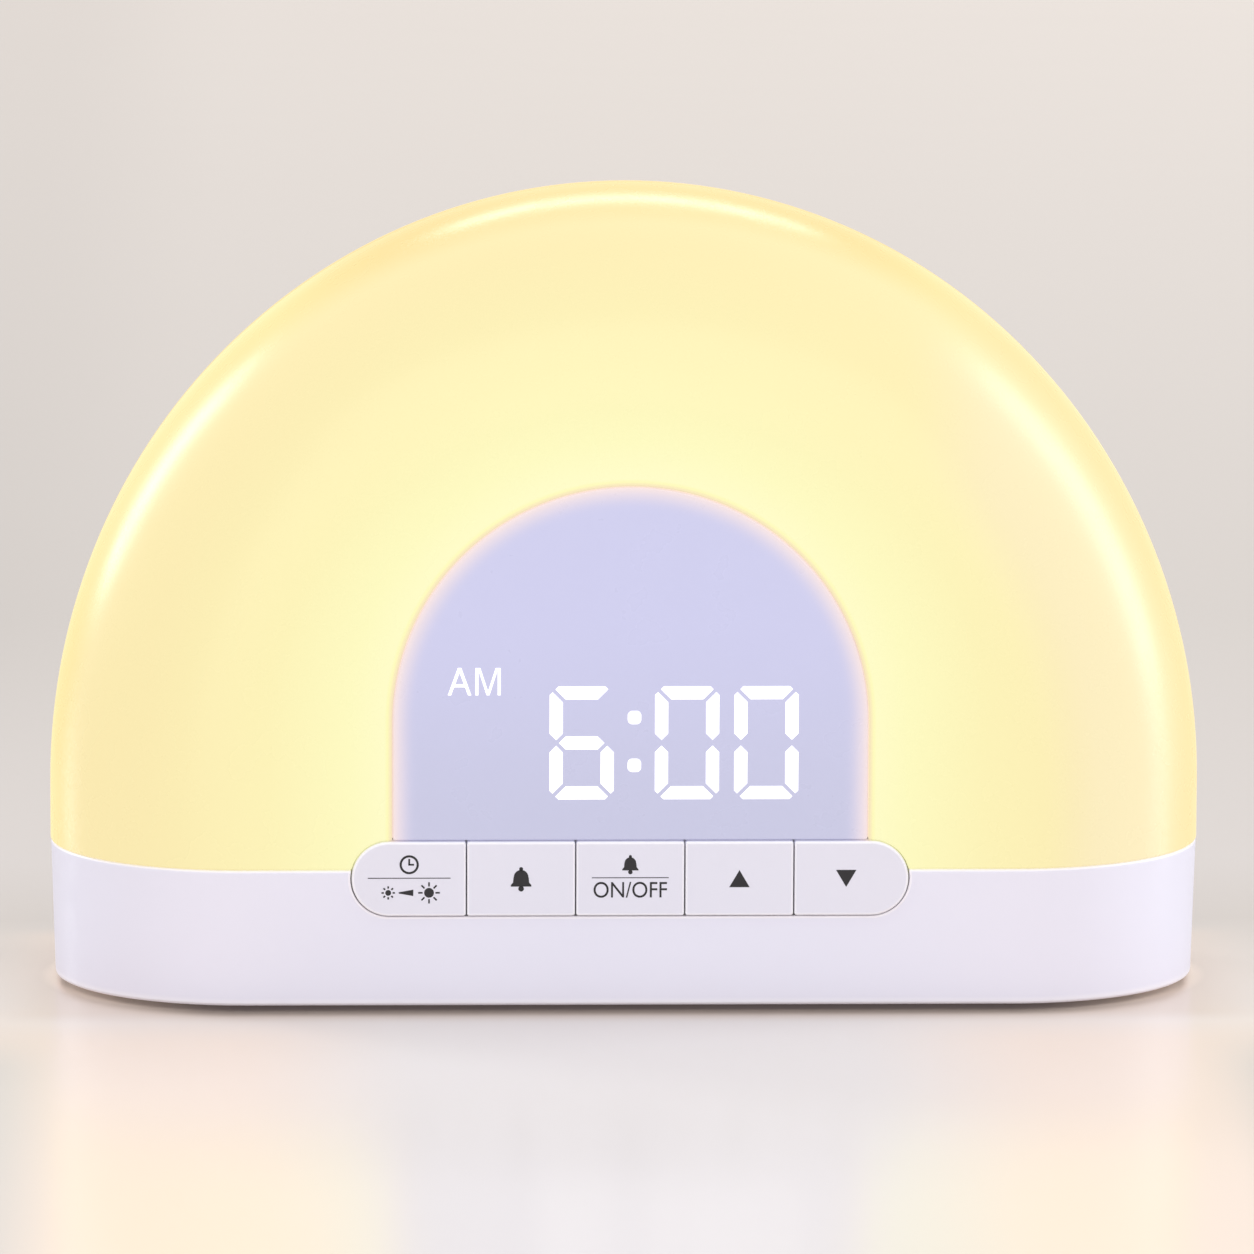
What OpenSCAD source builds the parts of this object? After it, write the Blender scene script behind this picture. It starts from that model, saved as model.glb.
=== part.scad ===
// Sunrise alarm clock: a lit arch on an oval base, with a clock display and five push keys.
// Millimetres. +X is the clock's right, +Y its back, +Z up; the feet stand on z = 0.

/* [Body] */
// Width of the dome, which is twice the radius of its arch
body_w = 200; // [190:1:250]
// Depth of the whole clock, front face to back face
body_d = 70.4; // [58:0.1:88]
// Height of the base, from its underside to the seam under the dome
base_h = 23.9; // [21:0.1:30]
// Height of the dome's upright sides, from the seam to the start of the arch
side_h = 10.1; // [8:0.1:30]
// Extra height of the arch over a true half circle
crown = 4.3; // [0:0.1:6]
// Width of the flat band along the middle of each side
side_flat = 3.2; // [2:0.1:12]

/* [Walls] */
// Wall of the translucent dome
dome_wall = 2; // [1.5:0.1:3]
// Wall of the rear housing
rear_wall = 2.2; // [1.6:0.1:3]
// Wall of the base housing
base_wall = 2.6; // [2.4:0.1:3.2]
// Thickness of the deck that closes the top of the base
deck_t = 2; // [1.6:0.1:3]
// Thickness of the bottom cover
cover_t = 2; // [1.6:0.1:3]
// Height that the feet lift the base
foot_h = 1; // [0.6:0.1:3]
// Radius of a foot pad
foot_r = 5; // [3:0.5:7]
// Gap between covers and plates that slide together
fit_gap = 0.15; // [0.1:0.05:0.3]

/* [Display] */
// Width of the display window
display_w = 81.4; // [72:0.1:98]
// Height of the display window above the keys
display_h = 61.1; // [52:0.1:72]
// Thickness of the display lens
lens_t = 3; // [2.6:0.1:4]
// Height of a digit
digit_h = 19.6; // [15:0.1:22]
// Width of a digit
digit_w = 11; // [9:0.1:12]
// Distance from one digit to the next
digit_pitch = 13.6; // [12.5:0.1:15]
// Width of a lit segment
segment_w = 2.25; // [1.6:0.05:3]
// Height of the digits' lower edge above the window's lower edge
digit_lift = 7.1; // [5:0.1:10]

/* [Keys] */
// Width of the row of keys
keys_w = 95.6; // [88:0.1:115]
// Height of the row of keys, which has fully round ends
keys_h = 12.9; // [10:0.1:14]
// Height of the row's centre above the surface the clock stands on
keys_z = 23.35; // [20:0.05:26]
// Extra length of the first and the last key, for their round ends
key_end = 0.95; // [0:0.05:2]
// Gap around each key
key_gap = 0.25; // [0.15:0.05:0.4]
// How far the keys stand out of the face
key_proud = 0.4; // [0.2:0.1:0.8]
// How far a key moves when it is pressed
key_travel = 0.5; // [0.3:0.05:0.7]

/* [Light] */
// Width of the arched light board
light_w = 11.5; // [9:0.5:14]
// Angle between two light sources on the arch
light_step = 15; // [10, 15, 20]

/* [Sound and power] */
// Radius of the speaker's cone opening
speaker_r = 18; // [14:0.5:22]
// Distance from the top of the flat back down to the speaker's grille
speaker_drop = 3.8; // [2:0.1:15]
// Radius of the hole in the power socket
socket_r = 3.1; // [2.5:0.05:3.3]
// Sideways place of the power socket
socket_x = 46; // [30:1:55]
// Radius of the backup cell
cell_r = 10; // [8:0.5:12]
// Thickness of the backup cell
cell_t = 3.2; // [2.5:0.1:3.4]
// Turn that unlocks the battery door
door_turn = 35; // [25:1:45]

/* [Hidden] */
$fn = 64;

// Small overlap that lets a cut run past a face
eps = 1;

// Body: the rounding runs along the whole arch and round both ends of the base
arch_r = body_w / 2;
end_r = (body_d - side_flat) / 2;
end_x = arch_r - end_r;
end_y = side_flat / 2;
seam_z = foot_h + base_h;
arch_z = seam_z + side_h;
front_y = -body_d / 2;
back_y = body_d / 2;
part_y = end_y;
arch_steps = 48;
round_steps = 12;
seam_step = 0.1;
base_draft = 0.7;
base_round = 1.6;
edge_round = 0.4;
cavity = base_wall + seam_step;
deck_z = seam_z - deck_t;
cover_z = foot_h + cover_t;
lip_t = 1.2;
lip_h = 3;
lip_inset = max(dome_wall, rear_wall) + fit_gap;

// Screws: pilot and clearance radii, heads and boss radii
screw_r = 1.2;
screw_head_r = 2.4;
screw_head_t = 1.6;
small_screw_r = 0.9;
small_head_r = 1.7;
small_head_t = 1.2;
screw_slack = 0.05;
hole_slack = 0.3;
boss_r = 3;
small_boss_r = 2.3;
screw_len = 9;
small_screw_len = 4.5;
short_screw_len = 3.5;
pilot_len = 9;

// Keys: depths from the face inwards
key_front = front_y - key_proud;
key_back = key_front + 3;
key_top = keys_z + keys_h / 2;
stem_w = 10;
stem_h = 6;
KEYS = [-2, -1, 0, 1, 2];
key_pitch = (keys_w - 2 * key_end) / len(KEYS);
frame_y = key_back + key_travel + 0.5;
frame_t = 1.8;
frame_w = keys_w + 19.6;
frame_low = keys_z - 8.6;
frame_top = key_top - 0.1;
frame_screw_x = keys_w / 2 + 5.8;
frame_screw_z = keys_z - 4.2;
hook_y = frame_y + frame_t + 0.1;
hook_t = 1;
hook_over = 0.8;
stem_end = hook_y + hook_t + 1.1;
plunger_r = 1.75;
plunger_len = 2;
switch_y = stem_end + 1;
switch_w = 6;
switch_t = 3.5;
board_t = 1.6;
button_board_y = switch_y + switch_t;
button_board_w = keys_w - 0.4;
button_post_x = key_pitch * 1.5;

// Display: the window's foot stands a gap above the keys
lens_z = key_top + key_gap;
lens_flange = 1.5;
face_inner = front_y + dome_wall;
flange_y = face_inner;
lens_back = front_y + lens_t;
display_wall = 1.6;
box_w = display_w + 2 * lens_flange;
box_h = display_h + lens_flange;
box_z = lens_z + 0.05;
box_floor = box_z + display_wall;
block_y = lens_back + 0.1;
block_t = 8;
display_board_y = block_y + block_t;
display_arch_z = lens_z + display_h - display_w / 2;
digit_z = lens_z + digit_lift;
digit_gap = 0.5;
digit_chamfer = 1.5;
colon_space = 4.45;
colon_w = 2.3;
colon_spread = 8.3;
ones_x = 17.75;
tens_x = ones_x - digit_pitch;
hour_x = tens_x - colon_space - digit_pitch;
lead_x = hour_x - digit_pitch;
DIGITS = [
    [lead_x, [1, 2]],
    [hour_x, [0 : 6]],
    [tens_x, [0 : 6]],
    [ones_x, [0 : 6]]
];
colon_x = (hour_x + digit_w + tens_x) / 2;
colon_z = digit_z + digit_h / 2 + 0.25;
mark_w = 9.6;
mark_h = 5.3;
mark_x = lead_x + 0.75;
mark_z = digit_z + digit_h - 2;
window_t = 1.5;
block_rim = 2.2;
chip_led = 1.2;
chip_led_t = 0.7;
display_screw_r = display_w / 2 - 2;
display_screw_z = box_floor + 5;
display_leg_x = 34;
display_leg_y = -9;

// Reflector and light board, in front of the parting plane
reflector_y = -1.5;
reflector_t = 1.5;
reflector_rim = 8;
reflector_gap = 0.4;
reflector_r = arch_r - dome_wall - fit_gap - lip_t - 0.35;
light_y = reflector_y - board_t;
light_in = box_w / 2 + 2.8;
light_mid = light_in + light_w / 2;
light_z = seam_z + 2.8;
led_w = 3.5;
led_h = 2.8;
led_t = 0.8;
leg_pitch = 7.5;
leg_room = display_arch_z - light_z - 6;
LEG_LIFTS = [for (k = [1 : floor(leg_room / leg_pitch)]) k * leg_pitch];
LIGHT_SCREWS = [1.5 * light_step, 3.5 * light_step];
REFLECTOR_SCREWS = [
    [arch_r * 0.4, arch_z + arch_r * 0.72],
    [arch_r * 0.78, arch_z + arch_r * 0.09]
];

// Screws between dome and rear housing, at the bottom of wells in the back
rear_screw_a = 45;
rear_screw_rad = arch_r - 12.5;
rear_screw_x = rear_screw_rad * cos(rear_screw_a);
rear_screw_z = arch_z + (rear_screw_rad + crown) * sin(rear_screw_a);
rear_boss_len = 8;
rear_head_y = part_y + 5;
rear_well_r = 4;

// Screws up through the deck, into the dome and the rear housing
dome_boss_x = arch_r - 16;
dome_boss_y = -8;
shell_boss_h = 10;
rib_t = 1.6;
rear_boss_x = end_x - 6;
rear_boss_y = back_y - 9;

// Bottom cover, feet and main board
cover_gap = 0.2;
cover_boss_x = arch_r - 26.6;
cover_boss_y = body_d / 2 - 14;
cover_boss_r = 3.2;
cover_pad_t = 2.2;
foot_a = 33.7;
foot_rad = end_r - cavity - cover_gap - foot_r - 4.5;
foot_x = end_x + foot_rad * cos(foot_a);
foot_y = end_y + foot_rad * sin(foot_a);
foot_sink = 0.4;
main_lift = 4;
main_z = cover_z + main_lift;
main_top = main_z + board_t;
main_x0 = -38;
main_x1 = cover_boss_x - cover_boss_r - 4.2;
main_y0 = -9.5;
main_y1 = back_y - 4.5;
main_hole = 3;

// Speaker, on the back wall of the rear housing
grille_r = speaker_r + 2;
speaker_z = arch_z + crown + end_x - speaker_drop - grille_r;
grille_slot = 1.6;
grille_pitch = 3.4;
gasket_t = 0.8;
grille_flange = 0.8;
grille_y = back_y - rear_wall;
speaker_y = grille_y - grille_flange - gasket_t;
speaker_flange = speaker_r + 2;
speaker_flange_t = 1.2;
speaker_hole = speaker_r - 0.4;
speaker_boss_x = grille_r + 4.3;
speaker_boss_z = 7;
magnet_r = speaker_r * 0.62;
magnet_t = 6;
basket_t = 9;
cone_seat = 0.5;

// Backup cell and its door
cell_x = -12;
cell_y = 4;
door_t = 1.2;
door_r = cell_r + 3;
cup_r = cell_r + 1;
cup_wall = 0.7;
lug_r = cup_r + 1.5;
lug_t = 0.8;
lug_angle = 24;
door_gap = 0.2;

// Power socket on the main board
socket_w = 9;
socket_h = 10.5;
socket_len = 13.5;
socket_depth = 9.5;
socket_z = main_top + 6.2;
socket_face = back_y - cavity - 0.2;

// Flexible leads
lead_r = 0.6;
lead_pitch = 1.43;
ribbon_t = 0.6;
ribbon_w = 16;
button_ribbon_w = 10;
plug_h = 5.6;
plug_d = 4;
light_plug_x = min(light_mid, main_x1 - main_hole - small_head_r - 3.2);
light_plug_y = light_y - 2;
speaker_plug_x = 0;
speaker_plug_y = speaker_y - 9.4;
display_plug_y = main_y0 + 3.5;
display_plug_x = 2;
button_plug_x = -25.5;
ribbon_bend = 1.6;
ribbon_rise = main_top + plug_h + 2;
ribbon_y = button_board_y + board_t + 1.6;

// Colours
LIT = [1.0, 0.93, 0.68];
SHELL = [0.91, 0.89, 0.94];
INNER = [0.95, 0.95, 0.94];
LENS = [0.82, 0.82, 0.93];
BOARD = [0.12, 0.35, 0.22];
WHITE_BOARD = [0.9, 0.9, 0.88];
DARK = [0.1, 0.1, 0.11];
METAL = [0.75, 0.75, 0.74];
GOLD = [0.8, 0.68, 0.38];
LEAD_RED = [0.7, 0.12, 0.1];

// ---------- shared shapes ----------

// Stations around the front outline: [angle, height of the centre], right foot to left foot
function stations(low) = concat(
    [[0, low]],
    [for (i = [0 : arch_steps]) [180 * i / arch_steps, arch_z]],
    [[180, low]]
);

// One section through the front half of the body at a station, from face to parting plane
function section(s, inset, y_end) = let (r = end_r - inset, rim = arch_r - inset) concat(
    [for (j = [0 : round_steps]) let (
        b = 90 * j / round_steps,
        q = rim - r * (1 - sin(b))
    ) [q * cos(s[0]), front_y + inset + r * (1 - cos(b)), s[1] + (q + crown) * sin(s[0])]],
    [[rim * cos(s[0]), y_end, s[1] + (rim + crown) * sin(s[0])]]
);

// Front half of the arched body, all its faces moved inwards by an inset
module arched_body(inset, low, y_end) {
    rows = stations(low);
    last = len(rows) - 1;
    m = round_steps + 2;
    polyhedron(
        points = [for (s = rows) each section(s, inset, y_end)],
        faces = concat(
            [for (i = [0 : last - 1]) for (j = [0 : m - 2]) each [
                [i * m + j, (i + 1) * m + j, i * m + j + 1],
                [(i + 1) * m + j, (i + 1) * m + j + 1, i * m + j + 1]
            ]],
            [[for (i = [last : -1 : 0]) i * m]],
            [[for (i = [0 : last]) i * m + m - 1]],
            [concat([for (j = [0 : m - 1]) j], [for (j = [m - 1 : -1 : 0]) last * m + j])]
        )
    );
}

// Keeps a smooth shell as one mesh
module one_mesh() {
    resize([0, 0, 0]) children();
}

// Stands a front-view outline upright between two depths
module upright(y0, y1) {
    translate([0, y1, 0]) rotate([90, 0, 0]) linear_extrude(height = y1 - y0) children();
}

// Cylinder along +Y
module rod_y(r, y0, y1, x = 0, z = 0) {
    translate([x, y0, z]) rotate([-90, 0, 0]) cylinder(r = r, h = y1 - y0);
}

// Cylinder along +Z
module rod_z(r, z0, z1, x = 0, y = 0) {
    translate([x, y, z0]) cylinder(r = r, h = z1 - z0);
}

// Block between two corners
module block(a, b) {
    translate(a) cube(b - a);
}

// Copies on both sides of the middle plane
module both_sides() {
    children();
    mirror([1, 0, 0]) children();
}

// Places something at the two rear screws, its +X pointing outwards to the rim
module rear_screw_places() {
    both_sides() translate([rear_screw_x, 0, rear_screw_z]) rotate([0, -rear_screw_a, 0]) children();
}

// Rib between a rear screw's boss and the dome's wall, with room around it
module rear_screw_rib(room) {
    reach = arch_r - dome_wall / 2 - rear_screw_rad;
    block([0, part_y - rear_boss_len - room, -rib_t / 2 - room],
        [reach, part_y + room, rib_t / 2 + room]);
}

// Window outline: a half circle on upright sides, its foot at z
module arch_outline(w, h, z) {
    translate([0, z]) {
        translate([-w / 2, 0]) square([w, h - w / 2]);
        translate([0, h - w / 2]) intersection() {
            circle(r = w / 2);
            translate([-w / 2, 0]) square([w, w / 2]);
        }
    }
}

// Outline of the whole arch behind the seam, with its rim moved inwards
module body_outline(inset) {
    r = arch_r - inset;
    polygon([
        [r, seam_z],
        for (a = [0 : 180 / arch_steps : 180]) [r * cos(a), arch_z + (r + crown) * sin(a)],
        [-r, seam_z]
    ]);
}

// Plan of the base: a rectangle with large round corners
module plan(inset) {
    r = end_r - inset;
    square([2 * end_x, 2 * (end_y + r)], center = true);
    square([2 * (end_x + r), 2 * end_y], center = true);
    for (sx = [-1, 1]) for (sy = [-1, 1]) translate([sx * end_x, sy * end_y]) circle(r = r);
}

// Outline of the whole row of keys
module keys_outline(grow) {
    r = keys_h / 2 + grow;
    x = keys_w / 2 - keys_h / 2;
    translate([0, keys_z]) {
        square([2 * x, 2 * r], center = true);
        for (s = [-1, 1]) translate([s * x, 0]) circle(r = r);
    }
}

// Pan-head screw that points along +Z, its head's underside at the origin
module screw(r, head_r, head_t, length) {
    cylinder(r = r, h = length);
    difference() {
        translate([0, 0, -head_t]) cylinder(r = head_r, h = head_t);
        for (a = [0, 90]) rotate([0, 0, a])
            translate([-head_r * 0.55, -head_r * 0.13, -head_t - eps])
                cube([head_r * 1.1, head_r * 0.26, eps + head_t * 0.5]);
    }
}

module case_screw() {
    screw(screw_r - screw_slack, screw_head_r, screw_head_t, screw_len);
}

module small_screw(length = small_screw_len) {
    screw(small_screw_r - screw_slack, small_head_r, small_head_t, length);
}

// Turns something that points along +Z so that it points backwards, +Y
module pointing_back() {
    rotate([-90, 0, 0]) children();
}

// Turns something that points along +Z so that it points forwards, -Y
module pointing_front() {
    rotate([90, 0, 0]) children();
}

// ---------- shells ----------

// Middle of a shell's wall at a depth, on the round end of the plan
function wall_x(y, wall) = end_x + sqrt(pow(end_r - wall / 2, 2) - pow(max(abs(y) - end_y, 0), 2));

module dome_diffuser() color(LIT) {
    difference() {
        union() {
            one_mesh() difference() {
                arched_body(0, seam_z, part_y);
                arched_body(dome_wall, seam_z - eps, part_y + eps);
                upright(front_y - eps, face_inner + eps)
                    arch_outline(display_w + 2 * fit_gap, display_h + fit_gap + eps, lens_z - eps);
                upright(front_y - eps, face_inner + eps) keys_outline(key_gap);
            }
            rear_screw_places() {
                rod_y(boss_r, part_y - rear_boss_len, part_y);
                rear_screw_rib(0);
            }
            both_sides() {
                rod_z(boss_r, seam_z, seam_z + shell_boss_h, dome_boss_x, dome_boss_y);
                block([dome_boss_x, dome_boss_y - rib_t / 2, seam_z], [
                    wall_x(dome_boss_y - rib_t / 2, dome_wall),
                    dome_boss_y + rib_t / 2,
                    seam_z + shell_boss_h
                ]);
            }
        }
        rear_screw_places() rod_y(screw_r, part_y - rear_boss_len + eps, part_y + eps);
        both_sides() rod_z(screw_r, seam_z - eps, seam_z + pilot_len, dome_boss_x, dome_boss_y);
    }
}

module rear_housing() color(SHELL) {
    lip_out = dome_wall + fit_gap;
    difference() {
        union() {
            one_mesh() union() {
                difference() {
                    mirror([0, 1, 0]) arched_body(0, seam_z, -part_y);
                    mirror([0, 1, 0]) arched_body(rear_wall, seam_z - eps, -part_y + eps);
                }
                difference() {
                    union() {
                        upright(part_y - lip_h, part_y + eps) body_outline(lip_out);
                        upright(part_y, part_y + lip_h) body_outline(rear_wall / 2);
                    }
                    upright(part_y - lip_h - eps, part_y + lip_h + eps)
                        body_outline(lip_out + lip_t);
                    block([-arch_r, part_y - lip_h - eps, seam_z - eps],
                        [arch_r, part_y + lip_h + eps, seam_z + lip_h + 2 * eps]);
                    rear_screw_places() rear_screw_rib(2 * fit_gap);
                }
            }
            intersection() {
                union() {
                    rear_screw_places() rod_y(rear_well_r, part_y, back_y);
                    both_sides() for (p = REFLECTOR_SCREWS)
                        rod_y(small_boss_r, 0, back_y, p[0], p[1]);
                }
                mirror([0, 1, 0]) arched_body(rear_wall / 2, seam_z, 0);
            }
            both_sides() {
                rod_z(boss_r, seam_z, seam_z + shell_boss_h, rear_boss_x, rear_boss_y);
                block([rear_boss_x - rib_t / 2, rear_boss_y, seam_z],
                    [rear_boss_x + rib_t / 2, back_y - rear_wall / 2, seam_z + shell_boss_h]);
                for (z = [-1, 1]) rod_y(small_boss_r, speaker_y, back_y - rear_wall / 2,
                    speaker_boss_x, speaker_z + z * speaker_boss_z);
            }
        }
        rear_screw_places() {
            rod_y(screw_r + hole_slack, part_y - eps, back_y);
            rod_y(screw_head_r + hole_slack, rear_head_y, back_y + eps);
        }
        both_sides() {
            rod_z(screw_r, seam_z - eps, seam_z + pilot_len, rear_boss_x, rear_boss_y);
            for (p = REFLECTOR_SCREWS) rod_y(small_screw_r, -eps, 8, p[0], p[1]);
            for (z = [-1, 1]) rod_y(small_screw_r, speaker_y - eps,
                speaker_y - speaker_flange_t + short_screw_len + 0.3,
                speaker_boss_x, speaker_z + z * speaker_boss_z);
        }
        rod_y(grille_r, back_y - rear_wall - eps, back_y + eps, 0, speaker_z);
    }
}

// Upright section of the base's side, measured outwards from the axis of a round corner
module base_profile() {
    r_top = end_r - seam_step;
    r_low = r_top - base_draft;
    lean = atan(base_draft / base_h);
    round_x = r_low + base_round * tan(lean) - base_round / cos(lean);
    polygon([
        [0, foot_h],
        [round_x, foot_h],
        [round_x + base_round * cos(lean), foot_h + base_round * (1 - sin(lean))],
        [r_top, seam_z - edge_round],
        [r_top - edge_round, seam_z],
        [0, seam_z]
    ]);
    translate([round_x, foot_h + base_round]) circle(r = base_round);
    translate([r_top - edge_round, seam_z - edge_round]) circle(r = edge_round);
}

// Solid outer form of the base
module base_form() {
    block([-end_x, -end_y, foot_h], [end_x, end_y, seam_z]);
    for (sx = [0, 1]) mirror([sx, 0, 0]) {
        translate([end_x, end_y, 0]) rotate([90, 0, 0])
            linear_extrude(height = 2 * end_y) base_profile();
        for (sy = [0, 1]) mirror([0, sy, 0]) translate([end_x, end_y, 0])
            rotate_extrude(angle = 90) base_profile();
    }
    for (sy = [0, 1]) mirror([0, sy, 0]) translate([-end_x, end_y, 0]) rotate([90, 0, 90])
        linear_extrude(height = 2 * end_x) base_profile();
}

module base_housing() color(SHELL) {
    cut_x = frame_w / 2 + 1;
    cut_y = -13;
    low = foot_h + cover_t + cover_pad_t;
    difference() {
        union() {
            difference() {
                base_form();
                translate([0, 0, foot_h - eps])
                    linear_extrude(height = base_h - deck_t + eps) plan(cavity);
            }
            translate([0, 0, seam_z - eps]) linear_extrude(height = lip_h + eps) difference() {
                plan(lip_inset);
                plan(lip_inset + lip_t);
            }
            both_sides() {
                for (y = [-1, 1])
                    rod_z(cover_boss_r, low, deck_z + eps, cover_boss_x, y * cover_boss_y);
                rod_y(small_boss_r, front_y + cavity - 0.6, frame_y, frame_screw_x, frame_screw_z);
            }
        }
        block([-cut_x, front_y + cavity, deck_z - eps], [cut_x, cut_y, seam_z + eps]);
        block([-cut_x, front_y, seam_z], [cut_x, cut_y, seam_z + lip_h + eps]);
        both_sides() {
            block([dome_boss_x, dome_boss_y - rib_t, seam_z],
                [arch_r, dome_boss_y + rib_t, seam_z + lip_h + eps]);
            block([rear_boss_x - rib_t, rear_boss_y, seam_z],
                [rear_boss_x + rib_t, back_y, seam_z + lip_h + eps]);
        }
        upright(front_y - eps, front_y + cavity + eps) keys_outline(key_gap);
        both_sides() {
            for (y = [-1, 1])
                rod_z(screw_r, low - eps, low + pilot_len, cover_boss_x, y * cover_boss_y);
            rod_y(small_screw_r, frame_y + frame_t - short_screw_len - 0.3, frame_y + eps,
                frame_screw_x, frame_screw_z);
            rod_z(screw_r + hole_slack, deck_z - eps, seam_z + eps, dome_boss_x, dome_boss_y);
            rod_z(screw_r + hole_slack, deck_z - eps, seam_z + eps, rear_boss_x, rear_boss_y);
            rod_z(small_screw_r + hole_slack, deck_z - eps, seam_z + eps,
                display_leg_x, display_leg_y);
        }
        rod_z(3, deck_z - eps, seam_z + eps, light_plug_x, light_plug_y);
        rod_z(3, deck_z - eps, seam_z + eps, speaker_plug_x, speaker_plug_y);
        rod_y(socket_r + 0.8, back_y - cavity - eps, back_y + eps, socket_x, socket_z);
    }
}

// Ring sector seen from above, centred on an angle
module sector(r, angle, spread) {
    rotate([0, 0, angle - spread / 2]) rotate_extrude(angle = spread) square([r, lug_t + 2]);
}

module bottom_cover() color(SHELL) {
    pad_top = cover_z + cover_pad_t;
    difference() {
        union() {
            translate([0, 0, foot_h]) linear_extrude(height = cover_t) plan(cavity + cover_gap);
            for (sx = [-1, 1]) for (sy = [-1, 1])
                rod_z(cover_boss_r + 1, cover_z - eps, pad_top, sx * cover_boss_x, sy * cover_boss_y);
            main_holes() cylinder(r = small_boss_r, h = main_lift + eps);
            rod_z(lug_r + 1.8, cover_z - eps, cover_z + 1.8, cell_x, cell_y);
        }
        for (sx = [-1, 1]) for (sy = [-1, 1]) {
            rod_z(screw_r + hole_slack, foot_h - eps, pad_top + eps,
                sx * cover_boss_x, sy * cover_boss_y);
            rod_z(screw_head_r + hole_slack, foot_h - eps, foot_h + screw_head_t + 0.2,
                sx * cover_boss_x, sy * cover_boss_y);
            rod_z(foot_r + 0.1, foot_h - eps, foot_h + foot_sink, sx * foot_x, sy * foot_y);
        }
        translate([0, 0, -0.4]) main_holes() cylinder(r = small_screw_r, h = main_lift + 3);
        rod_z(door_r + door_gap, foot_h - eps, foot_h + door_t + 0.05, cell_x, cell_y);
        rod_z(cup_r + door_gap, foot_h, cover_z + eps, cell_x, cell_y);
        rod_z(lug_r + 0.5, cover_z, cover_z + 3, cell_x, cell_y);
        translate([cell_x, cell_y, foot_h + door_t]) for (a = [0, 120, 240])
            sector(lug_r + 0.3, a - door_turn, lug_angle + 6);
    }
}

// Places something at the main board's four screw holes, one eps below the cover's top
module main_holes() {
    for (x = [main_x0 + main_hole, main_x1 - main_hole])
        for (y = [main_y0 + main_hole, main_y1 - main_hole])
            translate([x, y, cover_z - eps]) children();
}

module foot_pads() color(DARK) {
    for (sx = [-1, 1]) for (sy = [-1, 1])
        rod_z(foot_r, 0, foot_h + foot_sink, sx * foot_x, sy * foot_y);
}

// ---------- display ----------

module display_lens() color(LENS) {
    upright(front_y, lens_back) arch_outline(display_w, display_h, lens_z);
    upright(flange_y, lens_back) arch_outline(box_w, box_h, box_z);
}

// Places something at the display board's four screw holes, facing backwards
module display_holes() {
    for (s = [-1, 1]) {
        translate([s * display_screw_r, 0, display_screw_z]) children();
        translate([s * display_screw_r * cos(45), 0, display_arch_z + display_screw_r * sin(45)])
            children();
    }
}

module display_housing() color(INNER) {
    difference() {
        union() {
            difference() {
                upright(lens_back, reflector_y) arch_outline(box_w, box_h, box_z);
                upright(lens_back - eps, reflector_y + eps)
                    arch_outline(box_w - 2 * display_wall, box_h - 2 * display_wall, box_floor);
            }
            display_holes() rod_y(small_boss_r, lens_back + 1, display_board_y);
            for (s = [-1, 1])
                rod_z(boss_r, seam_z, box_z + display_wall / 2, s * display_leg_x, display_leg_y);
        }
        display_holes() rod_y(small_screw_r, display_board_y - small_screw_len, display_board_y + eps);
        for (s = [-1, 1]) rod_z(small_screw_r, seam_z - eps, seam_z + 3.5,
            s * display_leg_x, display_leg_y);
        block([display_plug_x - ribbon_w / 2 - 0.6, ribbon_y - 1, box_z - eps],
            [display_plug_x + ribbon_w / 2 + 0.6, ribbon_y + 1, box_floor + eps]);
    }
}

// Outlines of a digit's segments, from the digit's lower left corner
function top_segment() = let (w = digit_w, h = digit_h, t = segment_w, c = digit_chamfer,
    m = digit_gap) [
    [c, h], [w - c, h], [w - (c + m) / 2, h - (c - m) / 2], [w - t - m, h - t],
    [t + m, h - t], [(c + m) / 2, h - (c - m) / 2]
];
function side_segment() = let (h = digit_h, t = segment_w, c = digit_chamfer, m = digit_gap) [
    [0, h - c], [(c - m) / 2, h - (c + m) / 2], [t, h - t - m],
    [t, (h + t) / 2 + m], [t / 2, h / 2 + m], [0, (h + t) / 2 + m]
];
function middle_segment() = let (w = digit_w, h = digit_h, t = segment_w, m = digit_gap) [
    [t / 2 + m, h / 2], [t + m, (h + t) / 2], [w - t - m, (h + t) / 2],
    [w - t / 2 - m, h / 2], [w - t - m, (h - t) / 2], [t + m, (h - t) / 2]
];
function flip_x(outline) = [for (p = outline) [digit_w - p[0], p[1]]];
function flip_z(outline) = [for (p = outline) [p[0], digit_h - p[1]]];

// The seven segments in the usual order: top, right side down, bottom, left side up, middle
SEGMENTS = [
    top_segment(),
    flip_x(side_segment()),
    flip_z(flip_x(side_segment())),
    flip_z(top_segment()),
    flip_z(side_segment()),
    side_segment(),
    middle_segment()
];
SEGMENT_MIDS = [
    [0.5, 1, -0.5], [1, 0.75, 0], [1, 0.25, 0], [0.5, 0, 0.5], [0, 0.25, 0], [0, 0.75, 0],
    [0.5, 0.5, 0]
];

// All light windows of the display
module display_windows() {
    for (d = DIGITS) for (i = d[1]) translate([d[0], digit_z]) polygon(SEGMENTS[i]);
    for (s = [-1, 1]) translate([colon_x, colon_z + s * colon_spread / 2])
        square(colon_w, center = true);
    translate([mark_x - mark_w / 2, mark_z]) square([mark_w, mark_h]);
}

module segment_block() color(INNER) {
    x0 = mark_x - mark_w / 2 - block_rim;
    x1 = ones_x + digit_w + block_rim;
    z0 = digit_z - block_rim;
    z1 = mark_z + mark_h + block_rim;
    difference() {
        block([x0, block_y, z0], [x1, block_y + block_t, z1]);
        upright(block_y - eps, block_y + block_t + eps) display_windows();
    }
}

module segment_windows() color("white") {
    upright(block_y, block_y + window_t) display_windows();
}

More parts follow.
